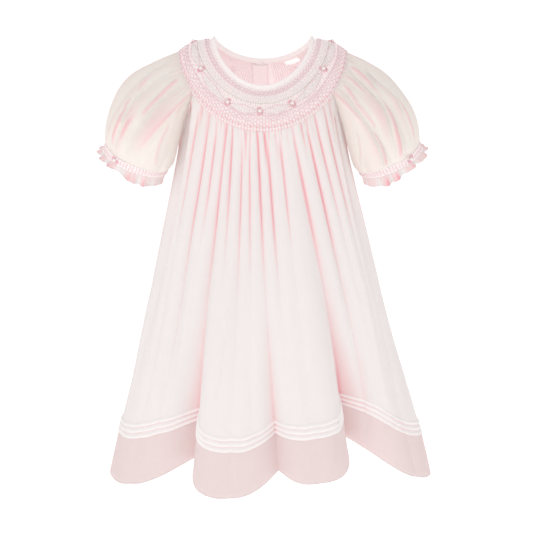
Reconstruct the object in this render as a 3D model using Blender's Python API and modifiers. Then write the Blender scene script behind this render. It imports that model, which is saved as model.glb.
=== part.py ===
"""A child's smocked bishop dress, worn form with no wearer: puffed raglan sleeves, a smocked
round yoke, a gathered skirt with three pintucks above a deep hem, and a buttoned back.

X runs to the wearer's left, the front faces -Y, and Z is up. The origin is the middle of the
neck at the height of the shoulders, where the wearer carries the dress. Sizes are in
millimetres, and they become metres as each mesh is made.
"""

import math

import bmesh
import bpy
import numpy as np
from mathutils import Vector

MM = 0.001

# Cloth and seams
CLOTH = 1.2  # wall of every cloth piece
SEAM = 0.42  # half of the space at a seam between walls that run on
FOLD_SEAM = 1.35  # the same where two walls meet at a sharp angle
CUFF_TURN = 2.2  # the same where a sleeve turns in to its cuff
LAID_ON = 1.65  # from a panel's middle to the middle of a strip laid on it
LAID_UNDER = 2.0  # the same for a strip on the inside

# Rings round the neck: half width, front and back depth, height at the side, drops, power
NECK = dict(
    half_width=51.5, front=52.0, back=43.0, side_z=-6.0, front_drop=44.5, back_drop=27.0, power=1.35
)
YOKE_EDGE = dict(
    half_width=84.5, front=74.0, back=66.0, side_z=-18.0, front_drop=68.0, back_drop=42.0, power=1.2
)
YOKE_CROWN = 3.5  # how far the yoke swells between its two edges
RAGLAN_DEG = 55.0  # where a raglan seam meets the yoke, from the middle front or back

# Body
UNDERARM = (86.0, 0.0, -112.0)
YOKE_SHARE = 0.58  # share of a half panel that hangs from the yoke, and not from the raglan
HEM_HALF_WIDTH = 174.5
HEM_FRONT = 122.0
HEM_BACK = 112.0
HEM_SWAY = 8.0  # the hem hangs a little to the wearer's left
SIDE_POWER = 1.06
TOP_PUFF = 2.0  # how far the gathers stand out just below the yoke
FOLD_LIFT = 0.3  # a fold's hem rises by this share of its depth

# Height of the hem at stations round the body: 0 middle front, 1 and -1 sides, 2 middle back
HEM_HEIGHTS = [
    ("middle back, right", -2.0, -468.0),
    ("right back", -1.5, -464.0),
    ("right side", -1.0, -470.0),
    ("right lobe", -0.62, -463.0),
    ("right fold", -0.37, -448.0),
    ("middle lobe", -0.15, -455.0),
    ("left of middle", 0.2, -437.0),
    ("left fold", 0.46, -432.0),
    ("left lobe", 0.77, -466.0),
    ("left side", 1.0, -474.0),
    ("left back", 1.5, -466.0),
    ("middle back, left", 2.0, -468.0),
]

# Valleys between the folds. Stations at the yoke and at the hem, then the depth below the
# gathers, halfway and at the hem, then how far the valley reaches to each side at the top
# and, towards the right and the left of the wearer, at the hem.
VALLEY_COLUMNS = ("top", "hem", "deep_top", "deep_mid", "deep_hem", "reach_top", "reach_right", "reach_left")
VALLEYS = [
    (-2.0, -2.0, 0.0, 0.0, 0.0, 4.0, 10.0, 10.0),
    (-1.88, -1.87, 5.0, 6.0, 8.0, 4.0, 12.0, 10.0),
    (-1.77, -1.74, 4.0, 8.0, 40.0, 4.0, 26.0, 9.0),
    (-1.66, -1.61, 5.0, 4.0, 0.0, 4.0, 12.0, 12.0),
    (-1.54, -1.49, 4.0, 6.0, 6.0, 4.0, 14.0, 14.0),
    (-1.44, -1.33, 5.0, 9.0, 36.0, 5.0, 9.0, 28.0),
    (-1.22, -1.16, 7.0, 5.0, 0.0, 8.0, 16.0, 16.0),
    (-1.0, -1.0, 0.0, 0.0, 0.0, 4.0, 10.0, 10.0),
    (-0.66, -0.80, 9.0, 4.0, 0.0, 8.0, 18.0, 18.0),
    (-0.505, -0.68, 4.0, 4.0, 2.0, 5.0, 12.0, 10.0),
    (-0.398, -0.58, 5.0, 9.0, 2.0, 5.0, 15.0, 12.0),
    (-0.329, -0.475, 4.0, 1.0, 0.0, 4.0, 10.0, 10.0),
    (-0.260, -0.385, 5.0, 17.0, 52.0, 4.0, 38.0, 13.0),
    (-0.211, -0.250, 4.0, 2.0, 0.0, 3.5, 8.0, 8.0),
    (-0.143, -0.160, 5.0, 5.0, 2.0, 4.0, 9.0, 9.0),
    (-0.095, -0.070, 5.0, 3.0, 0.0, 4.0, 9.0, 9.0),
    (-0.040, 0.034, 5.0, 10.0, 38.0, 4.0, 22.0, 15.0),
    (0.028, 0.110, 5.0, 5.0, 0.0, 4.0, 9.0, 9.0),
    (0.115, 0.190, 4.0, 3.0, 1.0, 4.0, 9.0, 9.0),
    (0.203, 0.425, 5.0, 15.0, 68.0, 4.0, 19.0, 50.0),
    (0.305, 0.560, 5.0, 8.0, 4.0, 4.0, 10.0, 14.0),
    (0.385, 0.640, 4.0, 3.0, 0.0, 4.0, 12.0, 12.0),
    (0.475, 0.710, 5.0, 5.0, 0.0, 4.0, 12.0, 12.0),
    (0.56, 0.80, 6.0, 5.0, 4.0, 5.0, 14.0, 12.0),
    (1.0, 1.0, 0.0, 0.0, 0.0, 4.0, 10.0, 10.0),
    (1.25, 1.18, 7.0, 5.0, 0.0, 8.0, 16.0, 16.0),
    (1.46, 1.36, 5.0, 9.0, 34.0, 5.0, 26.0, 9.0),
    (1.56, 1.51, 4.0, 4.0, 4.0, 4.0, 12.0, 12.0),
    (1.67, 1.64, 5.0, 6.0, 2.0, 4.0, 12.0, 12.0),
    (1.78, 1.77, 4.0, 9.0, 42.0, 4.0, 9.0, 28.0),
    (1.89, 1.88, 5.0, 4.0, 4.0, 4.0, 12.0, 12.0),
    (2.0, 2.0, 0.0, 0.0, 0.0, 4.0, 10.0, 10.0),
]
COLUMNS_A_FOLD = 3
VALLEY_SHARPNESS = 1.35
GATHER_LEVEL = 0.10  # where deep_top is reached, as a share of the way down
MIDDLE_LEVEL = 0.50

# Pintucks and hem, measured up from the hem's edge
TUCK_HEIGHTS = (61.0, 55.0, 49.0)  # the crest of each tuck
TUCK_STAND = 1.3
TUCK_HALF = 1.5
BODY_LEVELS = (0.0, 0.045, 0.10, 0.18, 0.29, 0.42, 0.56, 0.70)  # rows above the tucks
HEM_ROW = 22.0  # one more row this far above the edge

# Sleeves: the first angle is the top of the sleeve, 90 the front, 180 under the arm
CUFF_CENTRE = (127.5, -17.0, -120.0)
CUFF_HALF_WIDTH = 33.0
CUFF_HALF_DEPTH = 28.0
CUFF_OUTWARD_DEG = {"left": 25.0, "right": 22.0}  # the arm's lean away from the body
CUFF_DIP_DEG = 15.0  # the front of the cuff is lower than its back
PUFF_CORE = (96.0, -9.0, -90.0)  # the puff swells away from here
PUFF_TOP = {"left": 19.0, "right": 24.0}
PUFF = {"front": 27.0, "underarm": 1.5, "back": 24.0}
BODY_ROOM = 3.2  # a sleeve keeps this far from the body's panels, between the walls' middles
PUFF_LOWNESS = 1.2  # above 1 the puff is widest below its middle
SLEEVE_YOKE_DEG = 82.0  # the angle either side of the top that hangs from the yoke
SLEEVE_COLUMNS = 36
SLEEVE_LEVELS = (0.0, 0.10, 0.24, 0.40, 0.56, 0.72, 0.87, 1.0)
SLEEVE_VALLEY_COLUMNS = ("top", "cuff", "deep_top", "deep_mid", "deep_cuff", "reach")
SLEEVE_VALLEYS = {
    "left": [
        (15.0, 38.0, 3.0, 4.0, 2.0, 9.0),
        (34.0, 60.0, 3.0, 11.0, 6.0, 9.0),
        (66.0, 90.0, 3.0, 9.0, 5.0, 8.0),
        (98.0, 137.0, 0.0, 4.0, 5.0, 9.0),
        (216.0, 226.0, 2.0, 5.0, 3.0, 10.0),
        (262.0, 262.0, 3.0, 8.0, 5.0, 9.0),
        (296.0, 292.0, 3.0, 6.0, 4.0, 9.0),
        (332.0, 326.0, 3.0, 7.0, 4.0, 9.0),
    ],
    "right": [
        (12.0, 26.0, 3.0, 5.0, 3.0, 9.0),
        (34.0, 44.0, 2.0, 5.0, 6.0, 8.0),
        (58.0, 70.0, 3.0, 8.0, 5.0, 8.0),
        (82.0, 98.0, 3.0, 5.0, 3.0, 8.0),
        (104.0, 134.0, 0.0, 4.0, 4.0, 9.0),
        (220.0, 230.0, 2.0, 5.0, 3.0, 10.0),
        (258.0, 262.0, 3.0, 7.0, 5.0, 9.0),
        (298.0, 290.0, 3.0, 8.0, 4.0, 9.0),
        (336.0, 330.0, 3.0, 5.0, 4.0, 9.0),
    ],
}
CUFF_HEIGHT = 5.5
CUFF_PLEATS = 24
CUFF_PLEAT_STAND = 0.9
RUFFLE_LENGTH = 5.5  # on the outside of the arm
RUFFLE_INNER_LENGTH = 11.5  # beside the body
RUFFLE_FLARE = 4.5
RUFFLE_WAVES = 13
RUFFLE_WAVE = 2.8
RUFFLE_COLUMNS_A_WAVE = 4
CUFF_PINCH = 0.85  # share of the flare that the body's side takes away under the arm

# Smocking
YOKE_PLEATS = 64
YOKE_ROWS = 6
PLEAT_STAND = 1.3
PLEAT_WANDER = 0.32  # share of a pleat that it leans to its neighbour at each stitch row
PLACKET_CLEAR_DEG = 9.0  # the smocking stops this far from the middle back

# Neck binding, placket, buttons and label
BINDING_HEIGHT = 5.4
BINDING_THICKNESS = 2.4
BINDING_COLUMNS = 48
PLACKET_WIDTH = 14.0
PLACKET_END = 0.27  # how far down the skirt it runs, as a share of the skirt's length
UNDERLAP_WIDTH = 16.0
UNDERLAP_SHIFT = -3.0
BUTTON_RADIUS = 5.2
BUTTON_THICKNESS = 2.2
BUTTON_DISH = 0.5
BUTTON_PLACES = (0.30, 1.03, 1.17)  # 0 to 1 down the yoke, then 1 more than the level
LABEL_WIDTH = 15.0
LABEL_DROP = 10.0
LABEL_DEG = 147.0

COLOURS = {
    "batiste": (0.95, 0.87, 0.86, 0.65, 0.0),
    "smocking": (0.95, 0.82, 0.83, 0.7, 0.0),
    "binding": (0.96, 0.91, 0.90, 0.6, 0.0),
    "button": (0.95, 0.86, 0.87, 0.25, 0.0),
    "label": (0.97, 0.96, 0.95, 0.45, 0.0),
}


def unit(vectors):
    """Vectors of length one."""
    return vectors / np.maximum(np.linalg.norm(vectors, axis=-1, keepdims=True), 1e-9)


def mix(low, high, share):
    return low + (high - low) * share


def smooth(share):
    """Eases from 0 to 1."""
    share = np.clip(share, 0.0, 1.0)
    return share * share * (3.0 - 2.0 * share)


def oval(ring, angle):
    """Points of a ring round the neck, at angles in radians from the middle front."""
    forward = np.cos(angle)
    depth = np.where(forward > 0, ring["front"], ring["back"])
    drop = np.where(forward > 0, ring["front_drop"], ring["back_drop"])
    return np.stack(
        [
            ring["half_width"] * np.sin(angle),
            -depth * forward,
            ring["side_z"] - drop * np.abs(forward) ** ring["power"],
        ],
        axis=-1,
    )


def yoke_surface(angle, share):
    """The yoke's middle surface, from the neck at share 0 to the smocking's lower edge at 1."""
    angle, share = np.broadcast_arrays(np.asarray(angle, float), np.asarray(share, float))
    neck, edge = oval(NECK, angle), oval(YOKE_EDGE, angle)
    step = 0.01
    around = oval(YOKE_EDGE, angle + step) - oval(YOKE_EDGE, angle - step)
    out = unit(-np.cross(around, edge - neck))
    crown = YOKE_CROWN * 4.0 * share * (1.0 - share)
    return mix(neck, edge, share[..., None]) + out * crown[..., None]


def raglan(share, rear):
    """Points of a raglan seam on the wearer's left, from the yoke at share 0 to the underarm."""
    angle = math.radians(180.0 - RAGLAN_DEG if rear else RAGLAN_DEG)
    return mix(oval(YOKE_EDGE, np.full(np.shape(share), angle)), np.array(UNDERARM), share[..., None])


def skirt_top(station):
    """The upper edge of the body panels: yoke, raglan seam, underarm, raglan seam, yoke."""
    side = np.where(station < 0, -1.0, 1.0)
    place = np.abs(station)
    rear = place > 1.0
    from_middle = np.where(rear, 2.0 - place, place)
    under_yoke = np.radians(RAGLAN_DEG) * np.minimum(from_middle / YOKE_SHARE, 1.0)
    angle = np.where(rear, math.pi - under_yoke, under_yoke)
    down = np.clip((from_middle - YOKE_SHARE) / (1.0 - YOKE_SHARE), 0.0, 1.0)
    seam = np.where(rear[..., None], raglan(down, True), raglan(down, False))
    points = np.where((from_middle <= YOKE_SHARE)[..., None], oval(YOKE_EDGE, angle), seam)
    points[..., 0] *= side
    return points


def skirt_hem(station):
    """The hem's outer reach, and the level direction that points away from the body."""
    angle = station * math.pi / 2.0
    forward = np.cos(angle)
    depth = np.where(forward > 0, HEM_FRONT, HEM_BACK)
    _, places, heights = zip(*HEM_HEIGHTS)
    height = curve_through(station, np.array(places), np.array(heights))
    points = np.stack([HEM_SWAY + HEM_HALF_WIDTH * np.sin(angle), -depth * forward, height], axis=-1)
    out = unit(
        np.stack([depth * np.sin(angle), -HEM_HALF_WIDTH * forward, np.zeros_like(angle)], axis=-1)
    )
    return points, out


def curve_through(at, places, values):
    """Values between the rows of a table, on a curve through the rows with no corners."""
    row = np.clip(np.searchsorted(places, at, side="right") - 1, 0, len(places) - 2)
    span = places[row + 1] - places[row]
    share = (at - places[row]) / span
    slope = np.gradient(values, places)
    low, high = slope[row] * span, slope[row + 1] * span
    rise = values[row + 1] - values[row]
    rest = low * (1.0 - share) - high * share + rise * (2.0 * share - 1.0)
    return values[row] + rise * share + share * (1.0 - share) * rest


def valley_table():
    table = np.array(VALLEYS)
    return {name: table[:, i] for i, name in enumerate(VALLEY_COLUMNS)}


def valley_stations(table, level):
    """Where each valley is at a level, 0 at the yoke and 1 at the hem."""
    return mix(table["top"], table["hem"], level**0.9)


def depth_at(top, middle, hem, level):
    """How a valley's depth changes on its way down."""
    gathers = np.array([0.35 * top, top, middle, hem])
    levels = np.array([0.0, GATHER_LEVEL, MIDDLE_LEVEL, 1.0])
    return max(0.0, float(curve_through(np.array(min(level, 0.9999)), levels, gathers)))


def folds(station, level):
    """How far the cloth lies behind its outer reach, from all the valleys round it."""
    table = valley_table()
    half_girth = mix(120.0, 236.0, level)  # millimetres a station
    centres = valley_stations(table, level)
    widening = level**1.5
    total = np.zeros_like(station)
    for i, centre in enumerate(centres):
        deep = depth_at(table["deep_top"][i], table["deep_mid"][i], table["deep_hem"][i], level)
        if deep == 0.0:
            continue
        away = (station - centre + 2.0) % 4.0 - 2.0
        reach = np.where(
            away < 0,
            mix(table["reach_top"][i], table["reach_right"][i], widening),
            mix(table["reach_top"][i], table["reach_left"][i], widening),
        )
        total += deep * np.exp(-((np.abs(away) * half_girth / reach) ** VALLEY_SHARPNESS))
    under_placket = smooth(((2.0 - np.abs(station)) * half_girth - PLACKET_WIDTH * 0.75) / 8.0)
    return total * mix(under_placket, 1.0, smooth((level - PLACKET_END) / 0.12))


def skirt_point(station, level, start=0.0):
    """The middle surface of the body panels. level is the share of the way to the hem, and
    start is a distance that is left free below the upper edge."""
    station = np.asarray(station, float)
    top = skirt_top(station)
    hem, out = skirt_hem(station)
    down = hem - top
    length = np.linalg.norm(down, axis=-1)
    level_here = level + (1.0 - level) * start / length
    sideways = np.abs(np.sin(station * math.pi / 2.0)) ** 4
    eased = level_here[..., None] ** mix(1.0, SIDE_POWER, sideways)[..., None]
    points = top + down * np.concatenate([eased, eased, level_here[..., None]], axis=-1)
    hangs_from_yoke = 1.0 - smooth((np.abs(np.abs(station) - 1.0) < 1.0 - YOKE_SHARE) * 1.0)
    puff = TOP_PUFF * np.exp(-level_here / 0.12) * (1.0 - np.exp(-level_here / 0.03)) * hangs_from_yoke
    behind = folds(station, level)
    points += out * (puff - behind)[..., None]
    points[..., 2] += FOLD_LIFT * behind * level**2
    return points


def normals_of(grid, closed):
    """Normals of a grid of points, rows down and columns round."""
    if closed:
        around = np.roll(grid, -1, axis=1) - np.roll(grid, 1, axis=1)
    else:
        around = np.gradient(grid, axis=1)
    down = np.gradient(grid, axis=0)
    return unit(np.cross(down, around))


def material(name):
    """One Principled finish, made once."""
    if name in bpy.data.materials:
        return bpy.data.materials[name]
    red, green, blue, roughness, metallic = COLOURS[name]
    made = bpy.data.materials.new(name)
    made.use_nodes = True
    shader = made.node_tree.nodes["Principled BSDF"]
    shader.inputs["Base Color"].default_value = (red, green, blue, 1.0)
    shader.inputs["Roughness"].default_value = roughness
    shader.inputs["Metallic"].default_value = metallic
    return made


def add_object(name, mesh, finish):
    piece = bpy.data.objects.new(name, mesh)
    mesh.materials.append(material(finish))
    dress.objects.link(piece)
    return piece


def sheet(name, grid, closed, finish, thickness=CLOTH):
    """A plain wall: a grid laid on the points, its ends joined if closed, then Solidify."""
    rows, columns = grid.shape[:2]
    if closed:
        grid = np.concatenate([grid, grid[:, :1]], axis=1)
        columns += 1
    mesh = bpy.data.meshes.new(name)
    cloth = bmesh.new()
    bmesh.ops.create_grid(cloth, x_segments=columns - 1, y_segments=rows - 1, size=1.0)
    cloth.verts.ensure_lookup_table()
    for vertex, point in zip(cloth.verts, grid.reshape(-1, 3)):
        vertex.co = point * MM
    bmesh.ops.remove_doubles(cloth, verts=cloth.verts, dist=0.00001)
    cloth.to_mesh(mesh)
    cloth.free()
    piece = add_object(name, mesh, finish)
    wall = piece.modifiers.new("wall", "SOLIDIFY")
    wall.thickness = thickness * MM
    wall.offset = 0.0
    return piece


def relief_wall(name, middle, raised, inner_rows, closed, finish, inner_step=1):
    """A wall whose outer points are raised over a plain inside. middle is the grid of points,
    raised the height at each, inner_rows the rows that the plain inside keeps, and it keeps
    every column, or with inner_step 2 every second one."""
    columns = middle.shape[1]
    normals = normals_of(middle, closed)
    outer = middle + normals * (CLOTH / 2.0 + raised)[..., None]
    inner = (middle - normals * CLOTH / 2.0)[inner_rows][:, ::inner_step]
    wall = bmesh.new()
    front = [[wall.verts.new(p * MM) for p in row] for row in outer]
    back = [[wall.verts.new(p * MM) for p in row] for row in inner]
    last = columns if closed else columns - 1
    for i in range(last):
        j = (i + 1) % columns
        for upper, lower in zip(front, front[1:]):
            wall.faces.new((upper[i], lower[i], lower[j], upper[j]))
    for k in range(last // inner_step):
        m = (k + 1) % len(back[0])
        for upper, lower in zip(back, back[1:]):
            wall.faces.new((upper[m], lower[m], lower[k], upper[k]))
        over = [(k * inner_step + n) % columns for n in range(inner_step + 1)]
        wall.faces.new([front[0][i] for i in reversed(over)] + [back[0][k], back[0][m]])
        wall.faces.new([front[-1][i] for i in over] + [back[-1][m], back[-1][k]])
    if not closed:
        for k, (low, high) in enumerate(zip(inner_rows, inner_rows[1:])):
            edge = [front[r][0] for r in range(low, high + 1)]
            wall.faces.new([back[k][0], back[k + 1][0]] + edge[::-1])
            edge = [front[r][-1] for r in range(low, high + 1)]
            wall.faces.new(edge + [back[k + 1][-1], back[k][-1]])
    bmesh.ops.triangulate(wall, faces=wall.faces)
    bmesh.ops.recalc_face_normals(wall, faces=wall.faces)
    mesh = bpy.data.meshes.new(name)
    wall.to_mesh(mesh)
    wall.free()
    return add_object(name, mesh, finish)


def fold_columns(first, last):
    """The grid's columns between two rows of the valley table, as shares that follow the
    folds: a whole number is a valley, and the numbers between are on the fold beside it."""
    count = (last - first) * COLUMNS_A_FOLD
    return np.linspace(first, last, count + 1)


def stations_of(columns, level):
    """The stations of those columns at a level."""
    centres = valley_stations(valley_table(), level)
    return np.interp(columns, np.arange(len(centres)), centres)


def panel_levels(length):
    """Levels of a body panel's rows, the height raised at each, and the plain inside's rows."""
    rows = [(level, 0.0, True) for level in BODY_LEVELS]
    for number, height in enumerate(TUCK_HEIGHTS):
        rows.append((1.0 - (height + TUCK_HALF) / length, 0.0, number == 0))
        rows.append((1.0 - height / length, TUCK_STAND, False))
    rows.append((1.0 - (TUCK_HEIGHTS[-1] - TUCK_HALF) / length, 0.0, True))
    rows.append((1.0 - HEM_ROW / length, 0.0, True))
    rows.append((1.0, 0.0, True))
    levels, raised, plain = zip(*rows)
    return levels, raised, [i for i, keep in enumerate(plain) if keep]


def seam_start(station):
    """How far a panel's edge stays off the seam line: little at the yoke, more at the raglan."""
    from_middle = np.where(np.abs(station) > 1.0, 2.0 - np.abs(station), np.abs(station))
    return mix(SEAM, FOLD_SEAM, smooth((from_middle - YOKE_SHARE) / 0.04 + 0.5))


def body_panel(name, first, last, open_sides):
    """A body panel between two rows of the valley table. open_sides moves its side edges in
    by half a seam."""
    columns = fold_columns(first, last)
    columns[0] += open_sides
    columns[-1] -= open_sides
    length = 375.0
    levels, raised, plain = panel_levels(length)
    grid = []
    for level in levels:
        station = stations_of(columns, level)
        grid.append(skirt_point(station, level, seam_start(station)))
    grid = np.array(grid)
    relief = np.repeat(np.array(raised)[:, None], grid.shape[1], axis=1)
    return relief_wall(name, grid, relief, plain, False, "batiste")


def side_of(side):
    return 1.0 if side == "left" else -1.0


def armhole(angle):
    """The sleeve's upper edge on the wearer's left, by the angle round the sleeve."""
    turn = (angle + 180.0) % 360.0 - 180.0
    rear = turn < 0
    turn = np.abs(turn)
    along_yoke = np.minimum(turn / SLEEVE_YOKE_DEG, 1.0) * (90.0 - RAGLAN_DEG)
    ring_angle = np.radians(np.where(rear, 90.0 + along_yoke, 90.0 - along_yoke))
    down = np.clip((turn - SLEEVE_YOKE_DEG) / (180.0 - SLEEVE_YOKE_DEG), 0.0, 1.0)
    seam = np.where(rear[..., None], raglan(down, True), raglan(down, False))
    return np.where((turn <= SLEEVE_YOKE_DEG)[..., None], oval(YOKE_EDGE, ring_angle), seam)


def cuff_frame(side):
    """The cuff's centre on the wearer's left, and its outward, forward and arm directions."""
    lean = math.radians(CUFF_OUTWARD_DEG[side])
    dip = math.radians(CUFF_DIP_DEG)
    outward = np.array([math.cos(lean), 0.0, math.sin(lean)])
    forward = np.array([0.0, -math.cos(dip), -math.sin(dip)])
    forward = unit(forward - outward * forward.dot(outward))
    arm = np.cross(outward, forward)
    return np.array(CUFF_CENTRE), outward, forward, arm


def cuff_ring(side, angle, along, flare=0.0):
    """Points round the arm, at a distance along it below the sleeve."""
    centre, outward, forward, arm = cuff_frame(side)
    turn = np.radians(angle)
    radial = np.cos(turn)[..., None] * outward + np.sin(turn)[..., None] * forward
    oval_part = (
        np.cos(turn)[..., None] * outward * CUFF_HALF_WIDTH
        + np.sin(turn)[..., None] * forward * CUFF_HALF_DEPTH
    )
    return centre + oval_part + radial * np.asarray(flare)[..., None] + arm * np.asarray(along)[..., None]


def puff_size(side, angle):
    """How far the sleeve swells, by the angle round it."""
    turn = np.radians(angle)
    middle = np.where(np.sin(turn) > 0, PUFF["front"], PUFF["back"])
    end = np.where(np.cos(turn) > 0, PUFF_TOP[side], PUFF["underarm"])
    return mix(end, middle, np.abs(np.sin(turn)) ** 1.2)


def sleeve_folds(side, angle, level):
    table = {n: np.array(SLEEVE_VALLEYS[side])[:, i] for i, n in enumerate(SLEEVE_VALLEY_COLUMNS)}
    total = np.zeros_like(angle)
    for i in range(len(table["top"])):
        centre = mix(table["top"][i], table["cuff"][i], level)
        deep = curve_through(
            np.array(min(level, 0.9999)),
            np.array([0.0, 0.15, 0.6, 1.0]),
            np.array(
                [0.0, table["deep_top"][i], table["deep_mid"][i], table["deep_cuff"][i] * 0.35]
            ),
        )
        away = (angle - centre + 180.0) % 360.0 - 180.0
        total += deep * np.exp(-((np.abs(away) / table["reach"][i]) ** VALLEY_SHARPNESS))
    return total


def body_reach(turn, height):
    """How far the body reaches from the middle line on the wearer's left, in a direction and
    at a height, or nothing where an armhole is open."""
    station = np.linspace(0.3, 1.7, 57)
    rows = np.array([skirt_point(station, level) for level in np.linspace(0.0, 0.3, 16)])
    turns, reaches = [], []
    for column in np.swapaxes(rows, 0, 1):
        if column[0, 2] < height:
            continue
        x, y = (np.interp(-height, -column[:, 2], column[:, axis]) for axis in (0, 1))
        turns.append(math.atan2(x, -y))
        reaches.append(math.hypot(x, y))
    if not turns or not min(turns) <= turn <= max(turns):
        return 0.0
    return float(np.interp(turn, turns, reaches))


def clear_of_body(points, room):
    """Sleeve points on the wearer's left, moved out where they come too near the body."""
    moved = points.copy()
    for point in moved:
        reach = math.hypot(point[0], point[1])
        least = body_reach(math.atan2(point[0], -point[1]), point[2]) + room
        if room < least and reach < least:
            point[:2] *= least / reach
    return moved


def sleeve_point(side, angle, level):
    """The sleeve's middle surface on the wearer's left, from the armhole to the cuff."""
    start = armhole(angle)
    end = cuff_ring(side, angle, np.zeros_like(angle))
    middle = mix(start, end, 0.5)
    swell = unit(middle - np.array(PUFF_CORE))
    amount = puff_size(side, angle) * math.sin(math.pi * level**PUFF_LOWNESS) ** 0.72 - sleeve_folds(side, angle, level)
    points = mix(start, end, level) + swell * amount[..., None]
    room = BODY_ROOM * min(level / 0.1, (1.0 - level) / 0.2, 1.0)
    return clear_of_body(points, room) if room > 0.0 else points


def sleeve(side):
    """A puffed raglan sleeve, one tube from the armhole to the top of the cuff."""
    angle = np.arange(SLEEVE_COLUMNS) * 360.0 / SLEEVE_COLUMNS
    turn = np.abs((angle + 180.0) % 360.0 - 180.0)
    at_raglan = smooth((turn - SLEEVE_YOKE_DEG) / 10.0 + 0.5)
    grid = []
    for level in SLEEVE_LEVELS:
        if level == 0.0:
            near = sleeve_point(side, angle, 0.02)
            seam = sleeve_point(side, angle, 0.0)
            off = mix(SEAM, FOLD_SEAM, at_raglan)[..., None]
            out = unit(seam * (1.0, 1.0, 0.0)) * (CLOTH + SEAM) * at_raglan[..., None]
            grid.append(seam + unit(near - seam) * off + out)
        elif level == 1.0:
            edge = sleeve_point(side, angle, 1.0)
            above = sleeve_point(side, angle, 0.98)
            grid.append(edge + unit(above - edge) * CUFF_TURN)
        else:
            grid.append(sleeve_point(side, angle, level))
    grid = np.array(grid)
    grid[..., 0] *= side_of(side)
    return sheet("sleeve_" + side, grid, True, "batiste")


def cuff(side):
    """The smocked band that draws the sleeve in, with its small pleats raised."""
    columns = CUFF_PLEATS * 2
    angle = np.arange(columns) * 360.0 / columns
    pleat = (np.arange(columns) % 2).astype(float)
    rows = [(SEAM, 0.0), (CUFF_HEIGHT / 2.0, 1.0), (CUFF_HEIGHT - SEAM, 0.0)]
    grid = np.array([cuff_ring(side, angle, np.full(columns, along)) for along, _ in rows])
    relief = np.array([CUFF_PLEAT_STAND * mix(0.4, 1.0, full) * pleat for _, full in rows])
    if side == "right":
        grid[..., 0] *= -1.0
        grid, relief = grid[:, ::-1], relief[:, ::-1]
    return relief_wall("cuff_" + side, grid[:, ::-1], relief[:, ::-1], [0, 2], True, "smocking")


def ruffle(side):
    """The frill below the cuff, waved round and flared, with less flare beside the body."""
    columns = RUFFLE_WAVES * RUFFLE_COLUMNS_A_WAVE
    angle = np.arange(columns) * 360.0 / columns
    beside_body = smooth((-np.cos(np.radians(angle)) - 0.2) / 0.6)
    room = 1.0 - CUFF_PINCH * beside_body
    wave = np.sin(np.radians(angle) * RUFFLE_WAVES)
    length = mix(RUFFLE_LENGTH, RUFFLE_INNER_LENGTH, smooth(0.5 - np.cos(np.radians(angle))))
    grid = []
    for share in (0.0, 0.45, 1.0):
        along = CUFF_HEIGHT + SEAM + share * length
        flare = share * RUFFLE_FLARE * room + wave * RUFFLE_WAVE * share**0.8 * room
        grid.append(cuff_ring(side, angle, along, flare))
    grid = np.array(grid)
    grid[..., 0] *= side_of(side)
    return sheet("ruffle_" + side, grid, True, "batiste")


def smocked_yoke():
    """The smocked part of the front, sleeves and back, one ring that is open behind. Its
    pleats lean to one neighbour and then to the other at each row of stitches."""
    columns = YOKE_PLEATS * 2 + 1
    end = math.pi - SEAM / YOKE_EDGE["half_width"]
    across = np.linspace(-end, end, columns)
    shares = np.linspace(0.0, 1.0, YOKE_ROWS)
    lean = PLEAT_WANDER * 2.0 * end / YOKE_PLEATS
    number = np.arange(columns)
    relief_on = smooth((180.0 - PLACKET_CLEAR_DEG - np.degrees(np.abs(across))) / 4.0 + 0.5)
    grid, relief = [], []
    for row, share in enumerate(shares):
        crest = number % 2 == 1
        towards = np.where((number // 2 + row) % 2 == 0, 1.0, -1.0)
        angle = across + np.where(crest, towards * lean, 0.0) * relief_on
        neck_start = SEAM / 48.0
        grid.append(yoke_surface(angle, mix(neck_start, 1.0 - neck_start, share)))
        edge = 0.45 if row in (0, YOKE_ROWS - 1) else 1.0
        relief.append(np.where(crest, PLEAT_STAND * edge, 0.0) * relief_on)
    grid, relief = np.array(grid), np.array(relief)
    return relief_wall("smocked_yoke", grid, relief, list(range(YOKE_ROWS)), False, "smocking", 2)


def neck_binding():
    """The bias binding that stands on the yoke's neck edge."""
    end = math.pi - SEAM / NECK["half_width"]
    angle = np.linspace(-end, end, BINDING_COLUMNS + 1)
    neck = oval(NECK, angle)
    up = unit(neck - oval(YOKE_EDGE, angle))
    rows = [neck + up * along for along in (SEAM, BINDING_HEIGHT / 2.0, BINDING_HEIGHT)]
    return sheet("neck_binding", np.array(rows), False, "binding", BINDING_THICKNESS)


def back_point(down, across):
    """Points of the middle back by the distance across it. down is 0 to 1 on the yoke, and
    above 1 it is on the skirt, by 1 more than the level there."""
    if down <= 1.0:
        width = mix(NECK["half_width"], YOKE_EDGE["half_width"], down)
        return yoke_surface(math.pi - across / width, down)
    width = RAGLAN_DEG / 90.0 * YOKE_EDGE["half_width"] * math.pi / 2.0 / YOKE_SHARE
    width = mix(width, HEM_HALF_WIDTH * math.pi / 2.0, down - 1.0)
    station = 2.0 - across / width
    return skirt_point(np.where(station > 2.0, station - 4.0, station), down - 1.0)


def back_strip(name, width, shift, offset, first, last):
    """A strip laid along the middle back, outside it or, with a minus offset, inside. It has
    the rows of the pieces below it."""
    across = np.linspace(width / 2.0, -width / 2.0, 5) + shift
    rows = [row / (YOKE_ROWS - 1.0) for row in range(YOKE_ROWS)] + [1.0 + x for x in BODY_LEVELS[1:]]
    rows = [first] + [row for row in rows if first + 0.02 < row < last - 0.02] + [last]
    grid = np.array([back_point(row, across) for row in rows])
    return sheet(name, grid + normals_of(grid, False) * offset, False, "batiste")


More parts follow.
